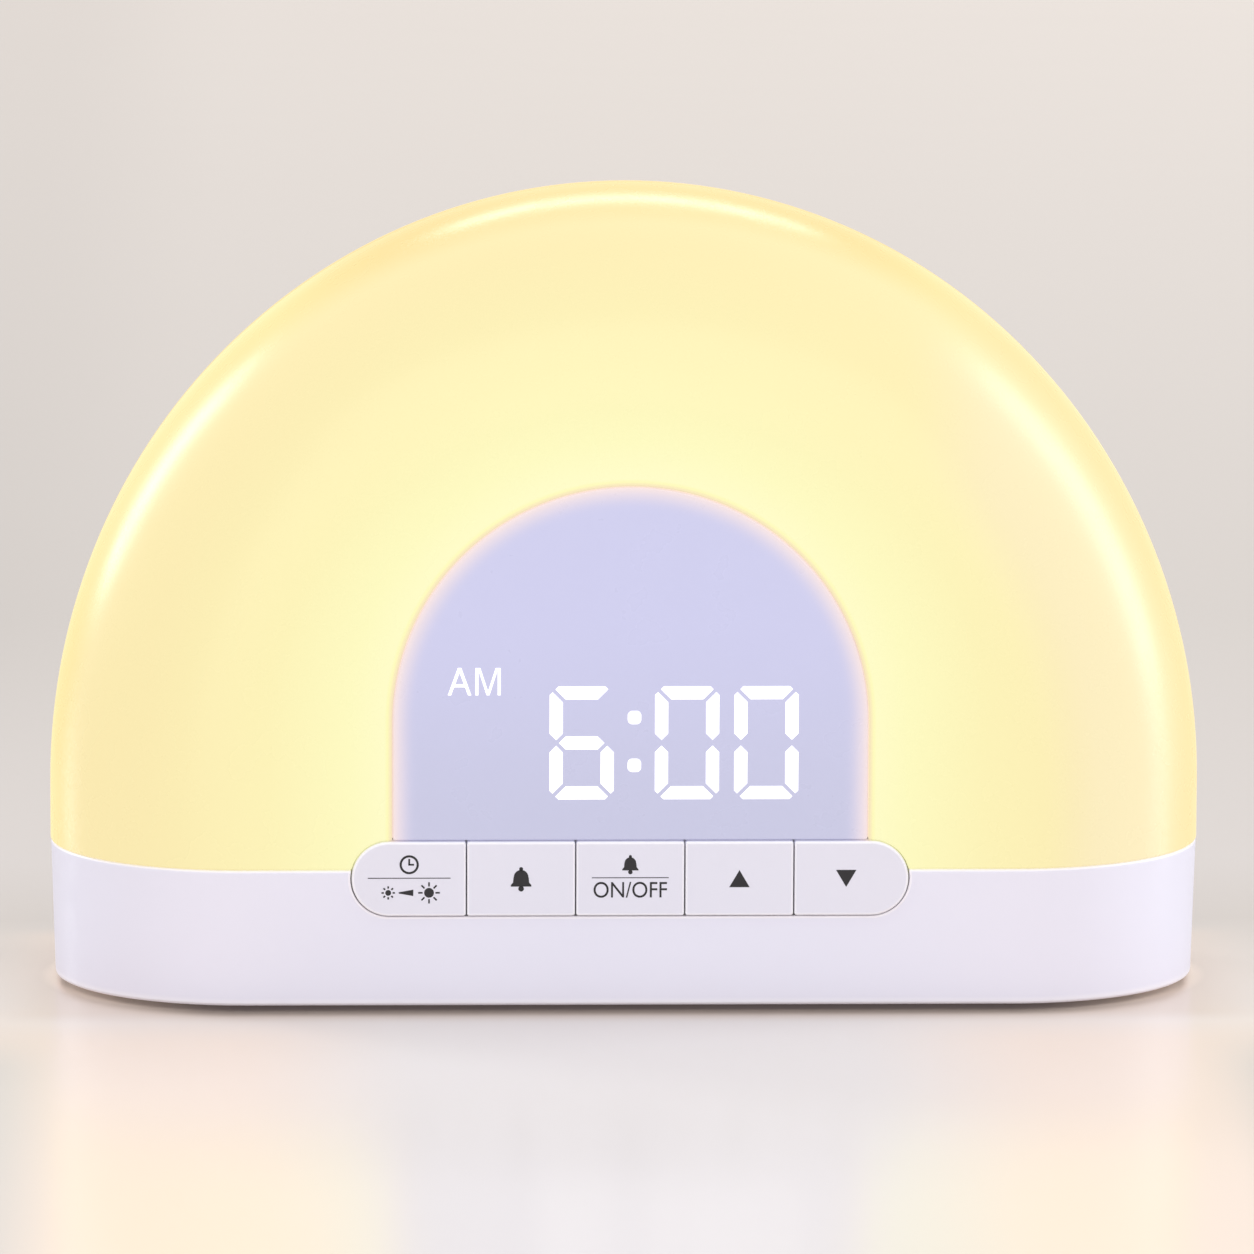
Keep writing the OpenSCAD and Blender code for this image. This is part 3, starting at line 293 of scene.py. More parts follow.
def closed_copy(piece):
    """A copy whose open back and open foot are filled: a solid to trim things with."""
    only(piece)
    bpy.ops.object.duplicate()
    solid = bpy.context.object
    edit(solid)
    pick(solid, "edges", lambda e: e.is_boundary and lies_at(e, 1, PART_Y))
    bpy.ops.mesh.edge_face_add()
    pick(solid, "edges", lambda e: e.is_boundary)
    bpy.ops.mesh.edge_face_add()
    only(solid)
    return solid


dome = arch_half("glow_dome", -1)
rear = arch_half("rear_shell", 1)
print("dome:", len(dome.data.polygons), "faces, rear:", len(rear.data.polygons))

# %% [markdown]
# ## The glowing dome
#
# The real dome is one milky moulding, 2 mm thick, with a hole for the display and the upper half of the
# keys' opening. Solidify gives the surface its wall, inwards so the outside keeps its size. Both holes
# are cut by plates, and the dome's own screw bosses are tubes set inside its rim.

# %% Dome: wall, window, bosses
SCREW_REACH, SCREW_RISE = 87.5, 91.8
FOOT_BOSS_X, RIB_INNER, RIB_OUTER = 84, 86.5, 98


def screw_places():
    """Centres of the two screws high in the rim, left and right."""
    reach, up = SCREW_REACH * math.cos(math.pi / 4), SCREW_RISE * math.sin(math.pi / 4)
    return [(side * reach, ARCH_Z + up) for side in (-1, 1)]


def tube(name, axis, outer, inner, start, end, place):
    """A rod with a round hole all the way through."""
    hole = rod("hole", axis, inner, start - 1, end + 1, place, 32)
    return cut(rod(name, axis, outer, start, end, place, 48), hole)


def keys_opening():
    """The cutter for the hole that the row of keys sits in."""
    outline = bar_outline(KEYS_HALF + OPENING_GAP, KEYS_R + OPENING_GAP, KEYS_Z)
    return plate("keys_opening", outline, *THROUGH_FACE)


def foot_bosses(x, y):
    """The two tubes that hold the screws from below."""
    return [tube("foot_boss", "z", BOSS_R, BOSS_HOLE, SEAM_Z, SEAM_Z + BOSS_H, (side * x, y))
        for side in (-1, 1)]


shape(dome, "SOLIDIFY", thickness=DOME_WALL * MM, offset=-1, use_even_offset=True)
cut(dome, plate("window", arch_outline(DISPLAY_HALF + GAP, KEYS_Z), *THROUGH_FACE), keys_opening())
round_edges(dome, EDGE)
join(dome, *[tube("rim_boss", "y", BOSS_R, BOSS_HOLE, -6.4, PART_Y, place) for place in screw_places()],
    *foot_bosses(FOOT_BOSS_X, -8),
    *[block("foot_rib", (low, -8.8, SEAM_Z), (high, -7.2, SEAM_Z + BOSS_H))
      for low, high in ((-RIB_OUTER, -RIB_INNER), (RIB_INNER, RIB_OUTER))])
smooth(dome)
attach(dome, "clock")
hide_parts("dome_diffuser")

# %% [markdown]
# ## The rear shell
#
# The back half is the same arch with a 2.2 mm wall, a round hole for the speaker's grille, and two wells
# at whose bottom the screws sit. A well is a tube that has to end flush with the rounded rim, so it
# starts too long, and only what it shares with a solid copy of the shell is kept.

# %% Rear shell: wall, grille hole, wells
GRILLE_R, GRILLE_Z = 20, 81.9
WELL_R, WELL_HOLE, REAR_BOSS_X = 4, 2.7, 60.4
trim = closed_copy(rear)
wells = [tube("well", "y", WELL_R, WELL_HOLE, PART_Y, 45, place) for place in screw_places()]
join(*wells)
cut(wells[0], trim, operation="INTERSECT")
shape(rear, "SOLIDIFY", thickness=REAR_WALL * MM, offset=-1, use_even_offset=True)
cut(rear, rod("grille_hole", "y", GRILLE_R, 30, 40, (0, GRILLE_Z), 128),
    *[rod("well_mouth", "y", WELL_HOLE, 12, 40, place, 48) for place in screw_places()])
round_edges(rear, EDGE)
join(rear, wells[0],
    *[tube("well_floor", "y", WELL_R - 0.1, 1.5, PART_Y, 6.6, place) for place in screw_places()],
    *foot_bosses(REAR_BOSS_X, 26.2))
smooth(rear)
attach(rear, "clock")
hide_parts("rear_housing")

# %% [markdown]
# ## The oval base
#
# The base is a deep tray turned upside down. It starts as a cube: its four upright edges get a bevel as
# large as the round ends, its underside is scaled in a little so the sides lean, and both rims are
# rounded. The underside is inset and extruded up to leave a wall. The keys' opening, the slot for their
# frame and the power socket's hole are cut out.

# %% Base: outer form and hollow
BASE_X, BASE_Y, BASE_END_R, FOOT_H = 99.9, 35.1, 33.5, 1
LEAN, LIP_ROUND, HOLLOW_H = 0.7, 0.7, 21.9
LARGE_FACE = 1e-3
base = block("base_tray", (-BASE_X, -BASE_Y, FOOT_H), (BASE_X, BASE_Y, SEAM_Z))
edit(base)
pick(base, "edges", lambda e: abs(e.verts[0].co.z - e.verts[1].co.z) > MM)
bpy.ops.mesh.bevel(offset=BASE_END_R * MM, segments=36, affect="EDGES")
pick(base, "verts", lambda v: v.co.z < 2 * FOOT_H * MM)
leaning = ((BASE_X - LEAN) / BASE_X, (BASE_Y - LEAN) / BASE_Y, 1)
bpy.ops.transform.resize(value=leaning, center_override=(0, 0, FOOT_H * MM))
pick(base, "edges", lambda e: all(v.co.z < 2 * FOOT_H * MM for v in e.verts))
bpy.ops.mesh.bevel(offset=LIP_ROUND * MM, segments=4, affect="EDGES")
pick(base, "edges", lambda e: all(v.co.z > (SEAM_Z - 0.01) * MM for v in e.verts))
bpy.ops.mesh.bevel(offset=LIP_ROUND * MM, segments=5, affect="EDGES")
pick(base, "faces", lambda f: f.normal.z < -0.99 and f.calc_area() > LARGE_FACE)
bpy.ops.mesh.inset(thickness=EDGE * MM)
extrude(0, 0, HOLLOW_H)
only(base)
print("base size:", rounded(base.dimensions))

# %% Base: openings and bosses
SLOT_X, SOCKET_R, SOCKET_PLACE = 58.6, 3.9, (46, 14.8)
COVER_BOSS_X, COVER_BOSS_Y = 73.4, 21.2
cut(base, keys_opening(), block("frame_slot", (-SLOT_X, -32.5, 22), (SLOT_X, -13, 27)),
    rod("socket_hole", "y", SOCKET_R, 28, 40, SOCKET_PLACE))
round_edges(base, EDGE)
join(base, *[tube("cover_boss", "z", 3.2, BOSS_HOLE, 5.2, 23, (x, y))
    for x in (-COVER_BOSS_X, COVER_BOSS_X) for y in (-COVER_BOSS_Y, COVER_BOSS_Y)])
smooth(base)
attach(base, "clock")
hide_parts("base_housing")

# %% [markdown]
# ## The display window
#
# The window is a 3 mm slab of milky plastic, flush with the dome. A thin flange behind the dome's wall
# holds it. Both are plates, and a fine rounding breaks the slab's edges and catches light.

# %% Display window
FLANGE_W, FLANGE_T = 1.5, 0.95
lens = plate("display_window", arch_outline(DISPLAY_HALF, DISPLAY_FOOT), FACE_Y, FACE_Y + LENS_T)
round_edges(lens, EDGE)
flange = plate("flange", arch_outline(DISPLAY_HALF + FLANGE_W, DISPLAY_FOOT + 0.05),
    FACE_Y + LENS_T - FLANGE_T, FACE_Y + LENS_T)
smooth(join(lens, flange))
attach(lens, "clock")
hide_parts("display_lens")

# %% [markdown]
# ## Lit digits
#
# A digit is seven bars of light with pointed ends and fine gaps between them. The top, a side and the
# middle are drawn once in the digit's own box, and the others are those three turned over. A table says
# which bars are lit. They are thin plates at the window's surface, where they show.

# %% The seven bars of a digit
DIGIT_W, DIGIT_H, BAR, CORNER, SPLIT = 11.0, 19.6, 2.25, 1.5, 0.5


def flip_across(bar):
    return [(DIGIT_W - x, z) for x, z in bar]


def flip_over(bar):
    return [(x, DIGIT_H - z) for x, z in bar]


w, h, t, c, m = DIGIT_W, DIGIT_H, BAR, CORNER, SPLIT
top_bar = [(c, h), (w - c, h), (w - (c + m) / 2, h - (c - m) / 2), (w - t - m, h - t), (t + m, h - t),
    ((c + m) / 2, h - (c - m) / 2)]
side_bar = [(0, h - c), ((c - m) / 2, h - (c + m) / 2), (t, h - t - m), (t, h / 2 + t / 2 + m),
    (t / 2, h / 2 + m), (0, h / 2 + t / 2 + m)]
middle_bar = [(t / 2 + m, h / 2), (t + m, (h + t) / 2), (w - t - m, (h + t) / 2), (w - t / 2 - m, h / 2),
    (w - t - m, (h - t) / 2), (t + m, (h - t) / 2)]
BARS = {"top": top_bar, "upper_left": side_bar, "upper_right": flip_across(side_bar),
    "middle": middle_bar, "lower_left": flip_over(side_bar),
    "lower_right": flip_over(flip_across(side_bar)), "bottom": flip_over(top_bar)}
LIT = {6: [b for b in BARS if b != "upper_right"], 0: [b for b in BARS if b != "middle"]}

# %% Six o'clock, its colon and the morning mark
LIGHT_Y = (FACE_Y - 0.06, FACE_Y + 0.1)
DIGIT_Z = 37.15
HOUR_X, TEN_MINUTES_X, MINUTES_X = -13.9, 4.15, 17.75
COLON_X, COLON_Z, DOT_LIFT, DOT_SIDE, DOT_R = 0.625, 47.2, 4.15, 2.3, 0.8
bars = [plate("bar", [(x + left, z + DIGIT_Z) for x, z in BARS[bar]], *LIGHT_Y)
    for digit, left in ((6, HOUR_X), (0, TEN_MINUTES_X), (0, MINUTES_X)) for bar in LIT[digit]]


def soft_square(x, z, side, corner):
    """A small square with round corners."""
    reach = side / 2 - corner
    return [p for sx, sz, a in ((1, 1, 0), (-1, 1, 90), (-1, -1, 180), (1, -1, 270))
        for p in arc(x + sx * reach, z + sz * reach, corner, a, a + 90, 8)]


dots = [plate("dot", soft_square(COLON_X, COLON_Z + lift, DOT_SIDE, DOT_R), *LIGHT_Y)
    for lift in (-DOT_LIFT, DOT_LIFT)]
# Each letter is drawn from its own lower left corner. The A is two legs and a bar, the M one outline.
A_X, M_X, LETTER_Z, LETTER_H, M_W, LEG = -31.34, -26.62, 55.26, 4.71, 4.32, 0.5
strokes = [
    (A_X, [(0, 0), (0.55, 0), (2.3, LETTER_H), (1.72, LETTER_H)]),
    (A_X, [(4.02, 0), (3.47, 0), (1.72, LETTER_H), (2.3, LETTER_H)]),
    (A_X, [(0.85, 1.4), (3.17, 1.4), (2.98, 1.9), (1.04, 1.9)]),
    (M_X, [(0, 0), (LEG, 0), (LEG, LETTER_H - 0.3), (1.92, 0), (2.4, 0), (M_W - LEG, LETTER_H - 0.3),
        (M_W - LEG, 0), (M_W, 0), (M_W, LETTER_H), (3.48, LETTER_H), (2.16, 0.65), (0.84, LETTER_H),
        (0, LETTER_H)]),
]
letters = [plate("stroke", [(left + x, LETTER_Z + z) for x, z in outline], *LIGHT_Y)
    for left, outline in strokes]
digits = join(bars[0], *bars[1:], *dots, *letters)
digits.name = digits.data.name = "lit_digits"
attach(digits, "clock")
print("lit digits:", len(digits.data.polygons), "faces")

# %% [markdown]
# ## The keys
#
# Five caps share one bar outline, and the two end caps have its round ends. A cap stands 0.4 mm proud,
# with a soft edge all round. Behind it a stem passes through the frame, with a hook that holds it in.
# Each key is its own piece, because each one moves.

# %% Key caps
KEY_GAP, KEY_FRONT, KEY_BACK, KEY_ROUND = 0.21, -35.6, -32.6, 0.4
STEM_HALF, STEM_BACK, STEM_RISE = 5, -26.4, 3
HOOK_HALF, HOOK_Y, HOOK_RISE = 3, (-28.5, -27.5), 3.8


def key_outline(i):
    """The outline of key i, counted from the middle key."""
    low = i * KEY_PITCH - KEY_PITCH / 2 + KEY_GAP / 2
    high = i * KEY_PITCH + KEY_PITCH / 2 - KEY_GAP / 2
    left = arc(-KEYS_HALF + KEYS_R, KEYS_Z, KEYS_R, 90, 270, 48) if i == -2 else [
        (low, KEYS_Z + KEYS_R), (low, KEYS_Z - KEYS_R)]
    right = arc(KEYS_HALF - KEYS_R, KEYS_Z, KEYS_R, -90, 90, 48) if i == 2 else [
        (high, KEYS_Z - KEYS_R), (high, KEYS_Z + KEYS_R)]
    return left + right


KEYS = {-2: "time", -1: "alarm", 0: "alarm_switch", 1: "up", 2: "down"}
caps = {}
for i, name in KEYS.items():
    x = i * KEY_PITCH
    cap = round_edges(plate(name + "_cap", key_outline(i), KEY_FRONT, KEY_BACK), KEY_ROUND, 4)
    stem = block("stem", (x - STEM_HALF, KEY_BACK - 0.5, KEYS_Z - STEM_RISE),
        (x + STEM_HALF, STEM_BACK, KEYS_Z + STEM_RISE))
    hook = block("hook", (x - HOOK_HALF, HOOK_Y[0], KEYS_Z - HOOK_RISE),
        (x + HOOK_HALF, HOOK_Y[1], KEYS_Z + HOOK_RISE))
    caps[i] = smooth(join(cap, stem, hook))
    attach(cap, name + "_button")
    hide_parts(name + "_key")
low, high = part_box("time_key")
print("time key in the frame:", rounded(low), rounded(high))

# %% [markdown]
# ## Signs on the keys
#
# Each key has a small dark sign on its face: a clock over a growing sun for time and dimming, a bell for
# the alarm, a bell over ON/OFF for its switch, and triangles for up and down. They are thin plates, so
# that they move with the keys and stay sharp however near one looks.

# %% Parts of the signs
INK_Y = (KEY_FRONT - 0.03, KEY_FRONT + 0.1)
INK = 0.38


def line(x0, z0, x1, z1, thick):
    """A straight stroke between two points."""
    run = Vector((x1 - x0, z1 - z0)).normalized() * thick / 2
    side = Vector((-run.y, run.x))
    return plate("line", [(x0 + side.x, z0 + side.y), (x0 - side.x, z0 - side.y),
        (x1 - side.x, z1 - side.y), (x1 + side.x, z1 + side.y)], *INK_Y)


def ring(x, z, radius):
    """A round stroke: a disc with a smaller disc cut out."""
    return cut(plate("ring", arc(x, z, radius, 0, 360 - 7.5, 47), *INK_Y),
        plate("inside", arc(x, z, radius - INK, 0, 360 - 7.5, 47), KEY_FRONT - 1, KEY_FRONT + 1))


def disc(x, z, radius):
    return plate("disc", arc(x, z, radius, 0, 345, 23), *INK_Y)


def bell(x, z, size):
    """A bell on its clapper, of a height, standing on z."""
    s = size / 10
    outline = [(-4.2, 1.9), (4.2, 1.9), (4.2, 2.5), (3.3, 3.6), (3.1, 5.6)]
    outline += arc(0, 5.8, 3, 0, 180, 16) + [(-3.1, 5.6), (-3.3, 3.6), (-4.2, 2.5)]
    return [plate("bell", [(x + s * u, z + s * v) for u, v in outline], *INK_Y),
        disc(x, z + s * 1.0, s * 1.15), disc(x, z + s * 9.2, s * 0.8)]


def lettering(name, words, width, height, x, z, depth):
    """Plain letters of one size, centred at x and z, facing the front."""
    only()
    bpy.ops.object.text_add(rotation=(math.pi / 2, 0, 0))
    text = bpy.context.object
    text.data.body, text.data.size = words, 0.01
    text.data.extrude = (depth[1] - depth[0]) / 2 * MM
    bpy.ops.object.convert(target="MESH")
    piece = added(name)
    low, high = [Vector(piece.bound_box[i]) for i in (0, 6)]
    middle = (low + high) / 2
    edit(piece, everything=True)
    bpy.ops.transform.resize(value=(width * MM / (high.x - low.x), 1, height * MM / (high.z - low.z)),
        center_override=middle)
    bpy.ops.transform.translate(value=Vector((x, sum(depth) / 2, z)) * MM - middle)
    only(piece)
    return piece


# %% One sign on each key
DIMMER_X, DOWN_X = -2 * KEY_PITCH - 0.45, 2 * KEY_PITCH - 0.4
HAND, RAY, HAIR, POINTER = 0.3, 0.28, 0.14, 1.75


def sun(x, z, radius, reach):
    """A disc with eight short rays."""
    rays, start = [], radius + 0.25
    for angle in [math.pi * k / 4 for k in range(8)]:
        across, up = math.cos(angle), math.sin(angle)
        rays.append(line(x + start * across, z + start * up, x + reach * across, z + reach * up, RAY))
    return [disc(x, z, radius), *rays]


def clock_face(x, z, radius):
    return [ring(x, z, radius), line(x, z - 0.15, x, z + radius * 0.62, HAND),
        line(x - 0.12, z, x + radius * 0.5, z, HAND)]


def triangle(x, up):
    """A solid triangle that points up or down."""
    rise = POINTER * 0.85 * (1 if up else -1)
    foot = KEYS_Z - rise
    return [plate("triangle", [(x - POINTER, foot), (x + POINTER, foot), (x, KEYS_Z + rise)], *INK_Y)]


def divider(x, half):
    """The fine line between two signs on one key."""
    return line(x - half, KEYS_Z + 0.2, x + half, KEYS_Z + 0.2, HAIR)


wedge = [(-1.8, -2.45), (0.7, -2.9), (0.7, -1.8), (-1.8, -2.25)]
signs = {
    -2: [*clock_face(DIMMER_X, KEYS_Z + 2.55, 1.65), divider(DIMMER_X, 7.1),
        *sun(DIMMER_X - 3.6, KEYS_Z - 2.35, 0.5, 1.15), *sun(DIMMER_X + 3.4, KEYS_Z - 2.35, 0.85, 1.85),
        plate("wedge", [(DIMMER_X + x, KEYS_Z + z) for x, z in wedge], *INK_Y)],
    -1: bell(-KEY_PITCH, KEYS_Z - 2.1, 4.2),
    0: [*bell(0, KEYS_Z + 0.85, 3.3), divider(0, 6.6),
        lettering("switch_words", "ON/OFF", 12.6, 2.75, 0, KEYS_Z - 1.9, INK_Y)],
    1: triangle(KEY_PITCH, True),
    2: triangle(DOWN_X, False),
}
marks = []
for i, parts in signs.items():
    sign = join(*parts)
    sign.name = sign.data.name = KEYS[i] + "_sign"
    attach(sign, KEYS[i] + "_button")
    marks.append(sign)
print("signs:", ", ".join(sign.name for sign in marks))

# %% [markdown]
# ## Grille and feet
#
# The grille is a disc in the back, with nine slots cut through it for the sound. The slots are bars with
# round ends, and their edges are softened. The four feet are rubber discs.

# %% Speaker grille
SLOTS_R, SLOT_R, SLOT_PITCH = 17, 0.8, 3.4
grille = rod("speaker_grille_disc", "y", GRILLE_R - GAP, BACK_Y - 3, BACK_Y, (0, GRILLE_Z), 128)
for lift in [SLOT_PITCH * i for i in range(-4, 5)]:
    half = math.sqrt(SLOTS_R ** 2 - lift ** 2)
    cut(grille, plate("slot", bar_outline(half, SLOT_R, GRILLE_Z + lift), 30, 40))
round_edges(grille, 0.25, 2)
smooth(grille)
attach(grille, "clock")
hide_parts("speaker_grille")

# %% Rubber feet
FOOT_X, FOOT_Y, FOOT_R, FOOT_TOP, FOOT_ROUND = 84.04, 13.36, 5, 1.4, 0.35
feet = [round_edges(rod("foot", "z", FOOT_R, 0, FOOT_TOP, (x, y)), FOOT_ROUND)
    for x in (-FOOT_X, FOOT_X) for y in (-FOOT_Y, FOOT_Y)]
feet = smooth(join(*feet))
feet.name = feet.data.name = "rubber_feet"
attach(feet, "clock")
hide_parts("foot_pads")

# %% [markdown]
# ## Building a material in code
#
# A material is a small network of nodes. These helpers add a node, feed it a number or another node's
# result, and do arithmetic, so that a finish below reads as one line per idea.

# %% Small helpers for nodes
def add_node(net, kind, **settings):
    node = net.nodes.new("ShaderNode" + kind)
    for setting, value in settings.items():
        setattr(node, setting, value)
    return node


def feed(net, socket, value):
    """Wires a socket's value in, or sets a plain one."""
    if isinstance(value, bpy.types.NodeSocket):
        net.links.new(value, socket)
    else:
        socket.default_value = value


def calc(net, operation, *values):
    """One step of arithmetic."""
    node = add_node(net, "Math", operation=operation)
    for socket, value in zip(node.inputs, values):
        feed(net, socket, value)
    return node.outputs[0]


def times(net, *values):
    """The product of some masks: it is 1 only where all of them are."""
    product = values[0]
    for value in values[1:]:
        product = calc(net, "MULTIPLY", product, value)
    return product


def past(net, value, start):
    """How far a value has gone past a start, and 0 before it."""
    return calc(net, "MAXIMUM", calc(net, "SUBTRACT", value, start), 0.0)


def diagonal(net, one, other):
    """The length of a line from its two legs at a right angle."""
    return calc(net, "SQRT", calc(net, "ADD", times(net, one, one), times(net, other, other)))


def where(net):
    """The place on the piece itself, which no pose changes."""
    return add_node(net, "TexCoord").outputs["Object"]


def in_mm(net):
    """That place as three distances in millimetres: across, deep and up."""
    place = add_node(net, "SeparateXYZ")
    feed(net, place.inputs[0], where(net))
    return [calc(net, "DIVIDE", side, MM) for side in place.outputs]


def remap(net, value, from_low, from_high, to_low=0.0, to_high=1.0, kind="SMOOTHSTEP"):
    """Moves a value from one range to another, and stops at its ends."""
    node = add_node(net, "MapRange", interpolation_type=kind)
    for socket, number in zip(node.inputs, (value, from_low, from_high, to_low, to_high)):
        feed(net, socket, number)
    return node.outputs[0]


def blend(net, share, *colours):
    """Goes from the first colour to the second."""
    node = add_node(net, "Mix", data_type="RGBA")
    feed(net, node.inputs[0], share)
    for socket, colour in zip((node.inputs[6], node.inputs[7]), colours):
        feed(net, socket, (*colour, 1) if isinstance(colour, tuple) else colour)
    return node.outputs[2]


def scaled(net, colour, factor):
    """A colour made lighter or darker."""
    node = add_node(net, "VectorMath", operation="SCALE")
    feed(net, node.inputs[0], colour)
    feed(net, node.inputs["Scale"], factor)
    return node.outputs[0]


def ramp(net, value, stops):
    """A colour for each stop, blended between them."""
    node = add_node(net, "ValToRGB")
    while len(node.color_ramp.elements) < len(stops):
        node.color_ramp.elements.new(0.5)
    for element, (place, colour) in zip(node.color_ramp.elements, stops):
        element.position, element.color = place, (*colour, 1)
    feed(net, node.inputs[0], value)
    return node.outputs[0]


def noise(net, scale, detail=2.0, roughness=0.5, place=None):
    node = add_node(net, "TexNoise")
    settings = {"Vector": place or where(net), "Scale": scale, "Detail": detail, "Roughness": roughness}
    for title, value in settings.items():
        feed(net, node.inputs[title], value)
    return node.outputs[0]


# %% [markdown]
# ## Shared effects
#
# Three effects serve more than one finish, so each is a node group, built once. Fine grain is the barely
# visible texture of a moulded surface: a slow drift of its colour, a finer change of its gloss, and a
# relief. The second is the distance from the display's edge, for the dome's glow and the window's bright
# rim. The third finds the edges of the keys, on their caps and on the base.

# %% Node group: fine grain
def new_group(name, inputs, outputs):
    """An empty group; inputs are (name, kind, value) and outputs (name, kind)."""
    group = bpy.data.node_groups.new(name, "ShaderNodeTree")
    for title, kind, value in inputs:
        socket = group.interface.new_socket(title, in_out="INPUT", socket_type="NodeSocket" + kind)
        socket.default_value = value
    for title, kind in outputs:
        group.interface.new_socket(title, in_out="OUTPUT", socket_type="NodeSocket" + kind)
    return group, group.nodes.new("NodeGroupInput").outputs, group.nodes.new("NodeGroupOutput").inputs


grain, given, result = new_group("fine grain", [
    ("Colour", "Color", (0.8, 0.8, 0.8, 1)), ("Drift", "Float", 0.03), ("Fine", "Float", 1500.0),
    ("Gloss low", "Float", 0.3), ("Gloss high", "Float", 0.4)],
    [("Colour", "Color"), ("Roughness", "Float"), ("Height", "Float")])
slow = noise(grain, 26.0, 3.0)
fine = noise(grain, given["Fine"], 2.0, 0.6)
shine = noise(grain, 160.0, 4.0)
change = calc(grain, "MULTIPLY_ADD", calc(grain, "SUBTRACT", slow, 0.5), given["Drift"], 1.0)
gloss = remap(grain, shine, 0.3, 0.7, given["Gloss low"], given["Gloss high"], "LINEAR")
feed(grain, result["Colour"], scaled(grain, given["Colour"], change))
feed(grain, result["Roughness"], gloss)
feed(grain, result["Height"], fine)

# %% Node group: distance from the display's edge
net, _, result = new_group("distance from the display", [], [("Inside", "Float")])
across, _, up = in_mm(net)
reach = diagonal(net, across, past(net, up, DISPLAY_CENTRE))
feed(net, result["Inside"], calc(net, "SUBTRACT", DISPLAY_HALF, reach))
edge_distance = net

# %% Node group: edges round the keys
outputs = [("From outline", "Float"), ("From divider", "Float")]
net, _, result = new_group("edges round the keys", [], outputs)
across, _, up = in_mm(net)
aside = calc(net, "ABSOLUTE", across)
lift = calc(net, "SUBTRACT", up, KEYS_Z)
from_axis = diagonal(net, past(net, aside, KEYS_HALF - KEYS_R), lift)
feed(net, result["From outline"], calc(net, "SUBTRACT", from_axis, KEYS_R))
turns = calc(net, "PINGPONG", calc(net, "SUBTRACT", across, KEY_PITCH / 2), KEY_PITCH / 2)
after_last = calc(net, "SUBTRACT", aside, 1.5 * KEY_PITCH)
feed(net, result["From divider"], calc(net, "MAXIMUM", turns, after_last))
key_edges = net
print("groups:", ", ".join(group.name for group in bpy.data.node_groups))


# %% [markdown]
# ## Moulded plastic
#
# White shells, keys, black housings and rubber differ only in colour, gloss and grain, so one function
# makes them all. The colour reaches the shader through the fine grain group, and the group's relief goes
# through a bump, so that light plays on even a plain shell. Edges finer than a pixel lose their
# highlight, so the keys and the base get a painted highlight, a lighter colour along their edges, and the
# base's lower rim is painted lighter against its shade. The base's white is also lighter than the shells'
# white of the same plastic: painted light on a base that stands in shade.

# %% Plastic finishes
def use_group(net, group, **values):
    node = add_node(net, "Group", node_tree=group)
    for title, value in values.items():
        feed(net, node.inputs[title.replace("_", " ")], value)
    return node.outputs


def new_material(name, **sockets):
    """A material with one Principled shader, whose fixed sockets are set here."""
    material = bpy.data.materials.new(name)
    material.use_nodes = True
    shader = material.node_tree.nodes["Principled BSDF"]
    for title, value in sockets.items():
        shader.inputs[title.replace("_", " ")].default_value = value
    return material, material.node_tree, shader.inputs


def relief(net, surface, height, strength, depth):
    bump = add_node(net, "Bump")
    bump.inputs["Strength"].default_value = strength
    bump.inputs["Distance"].default_value = depth * MM
    feed(net, bump.inputs["Height"], height)
    feed(net, surface["Normal"], bump.outputs[0])


def mould(net, surface, colour, gloss, drift, fine, depth, strength):
    """Puts a colour on a surface through the fine grain, with its gloss and relief."""
    look = use_group(net, grain, Colour=colour, Drift=drift, Fine=fine,
        Gloss_low=gloss[0], Gloss_high=gloss[1])
    feed(net, surface["Base Color"], look["Colour"])
    feed(net, surface["Roughness"], look["Roughness"])
    relief(net, surface, look["Height"], strength, depth)


def plastic(name, colour, gloss=(0.32, 0.42), drift=0.03, fine=1500.0, depth=0.02, strength=0.15,
        **sockets):
    """Moulded plastic or rubber of a colour."""
    material, net, surface = new_material(name, **sockets)
    mould(net, surface, (*colour, 1), gloss, drift, fine, depth, strength)
    return material


def overlay(material, share, colour):
    """Lays a colour over a material's own, by a mask from its nodes."""
    net = material.node_tree
    base_colour = net.nodes["Principled BSDF"].inputs["Base Color"]
    feed(net, base_colour, blend(net, share, base_colour.links[0].from_socket, colour))


key_white = plastic("key white", (0.755, 0.74, 0.83), (0.30, 0.40))
net = key_white.node_tree
edges = use_group(net, key_edges)
# Painted highlight: a lighter colour along each cap's outline and along its sides at the dividers.
key_rim_highlight = remap(net, edges["From outline"], -0.55, -0.25)
key_side_highlight = remap(net, edges["From divider"], 0.55, 0.3)
overlay(key_white, calc(net, "MAXIMUM", key_rim_highlight, key_side_highlight), (0.90, 0.885, 0.94))

# The base's white is lighter than the shell's white below, though both are one plastic: painted light on
# the base, which stands in shade, while the shell is kept darker where the lamps behind it shine strongly.
base_white = plastic("base white", (0.79, 0.775, 0.885))
net = base_white.node_tree
_, deep, up = in_mm(net)
# Painted highlights along the rim of the keys' opening and along the top rim; the lower rim is painted
# lighter against the shade that falls on it.
opening_highlight = remap(net, use_group(net, key_edges)["From outline"], 0.75, 0.4)
opening_highlight = times(net, opening_highlight, remap(net, deep, -20, -30))
low_rim_light = times(net, remap(net, up, 2.6, 1.4), 0.6)
rims = calc(net, "MAXIMUM", remap(net, up, 24.3, 24.6), low_rim_light)
overlay(base_white, calc(net, "MAXIMUM", opening_highlight, rims), (0.93, 0.90, 0.95))

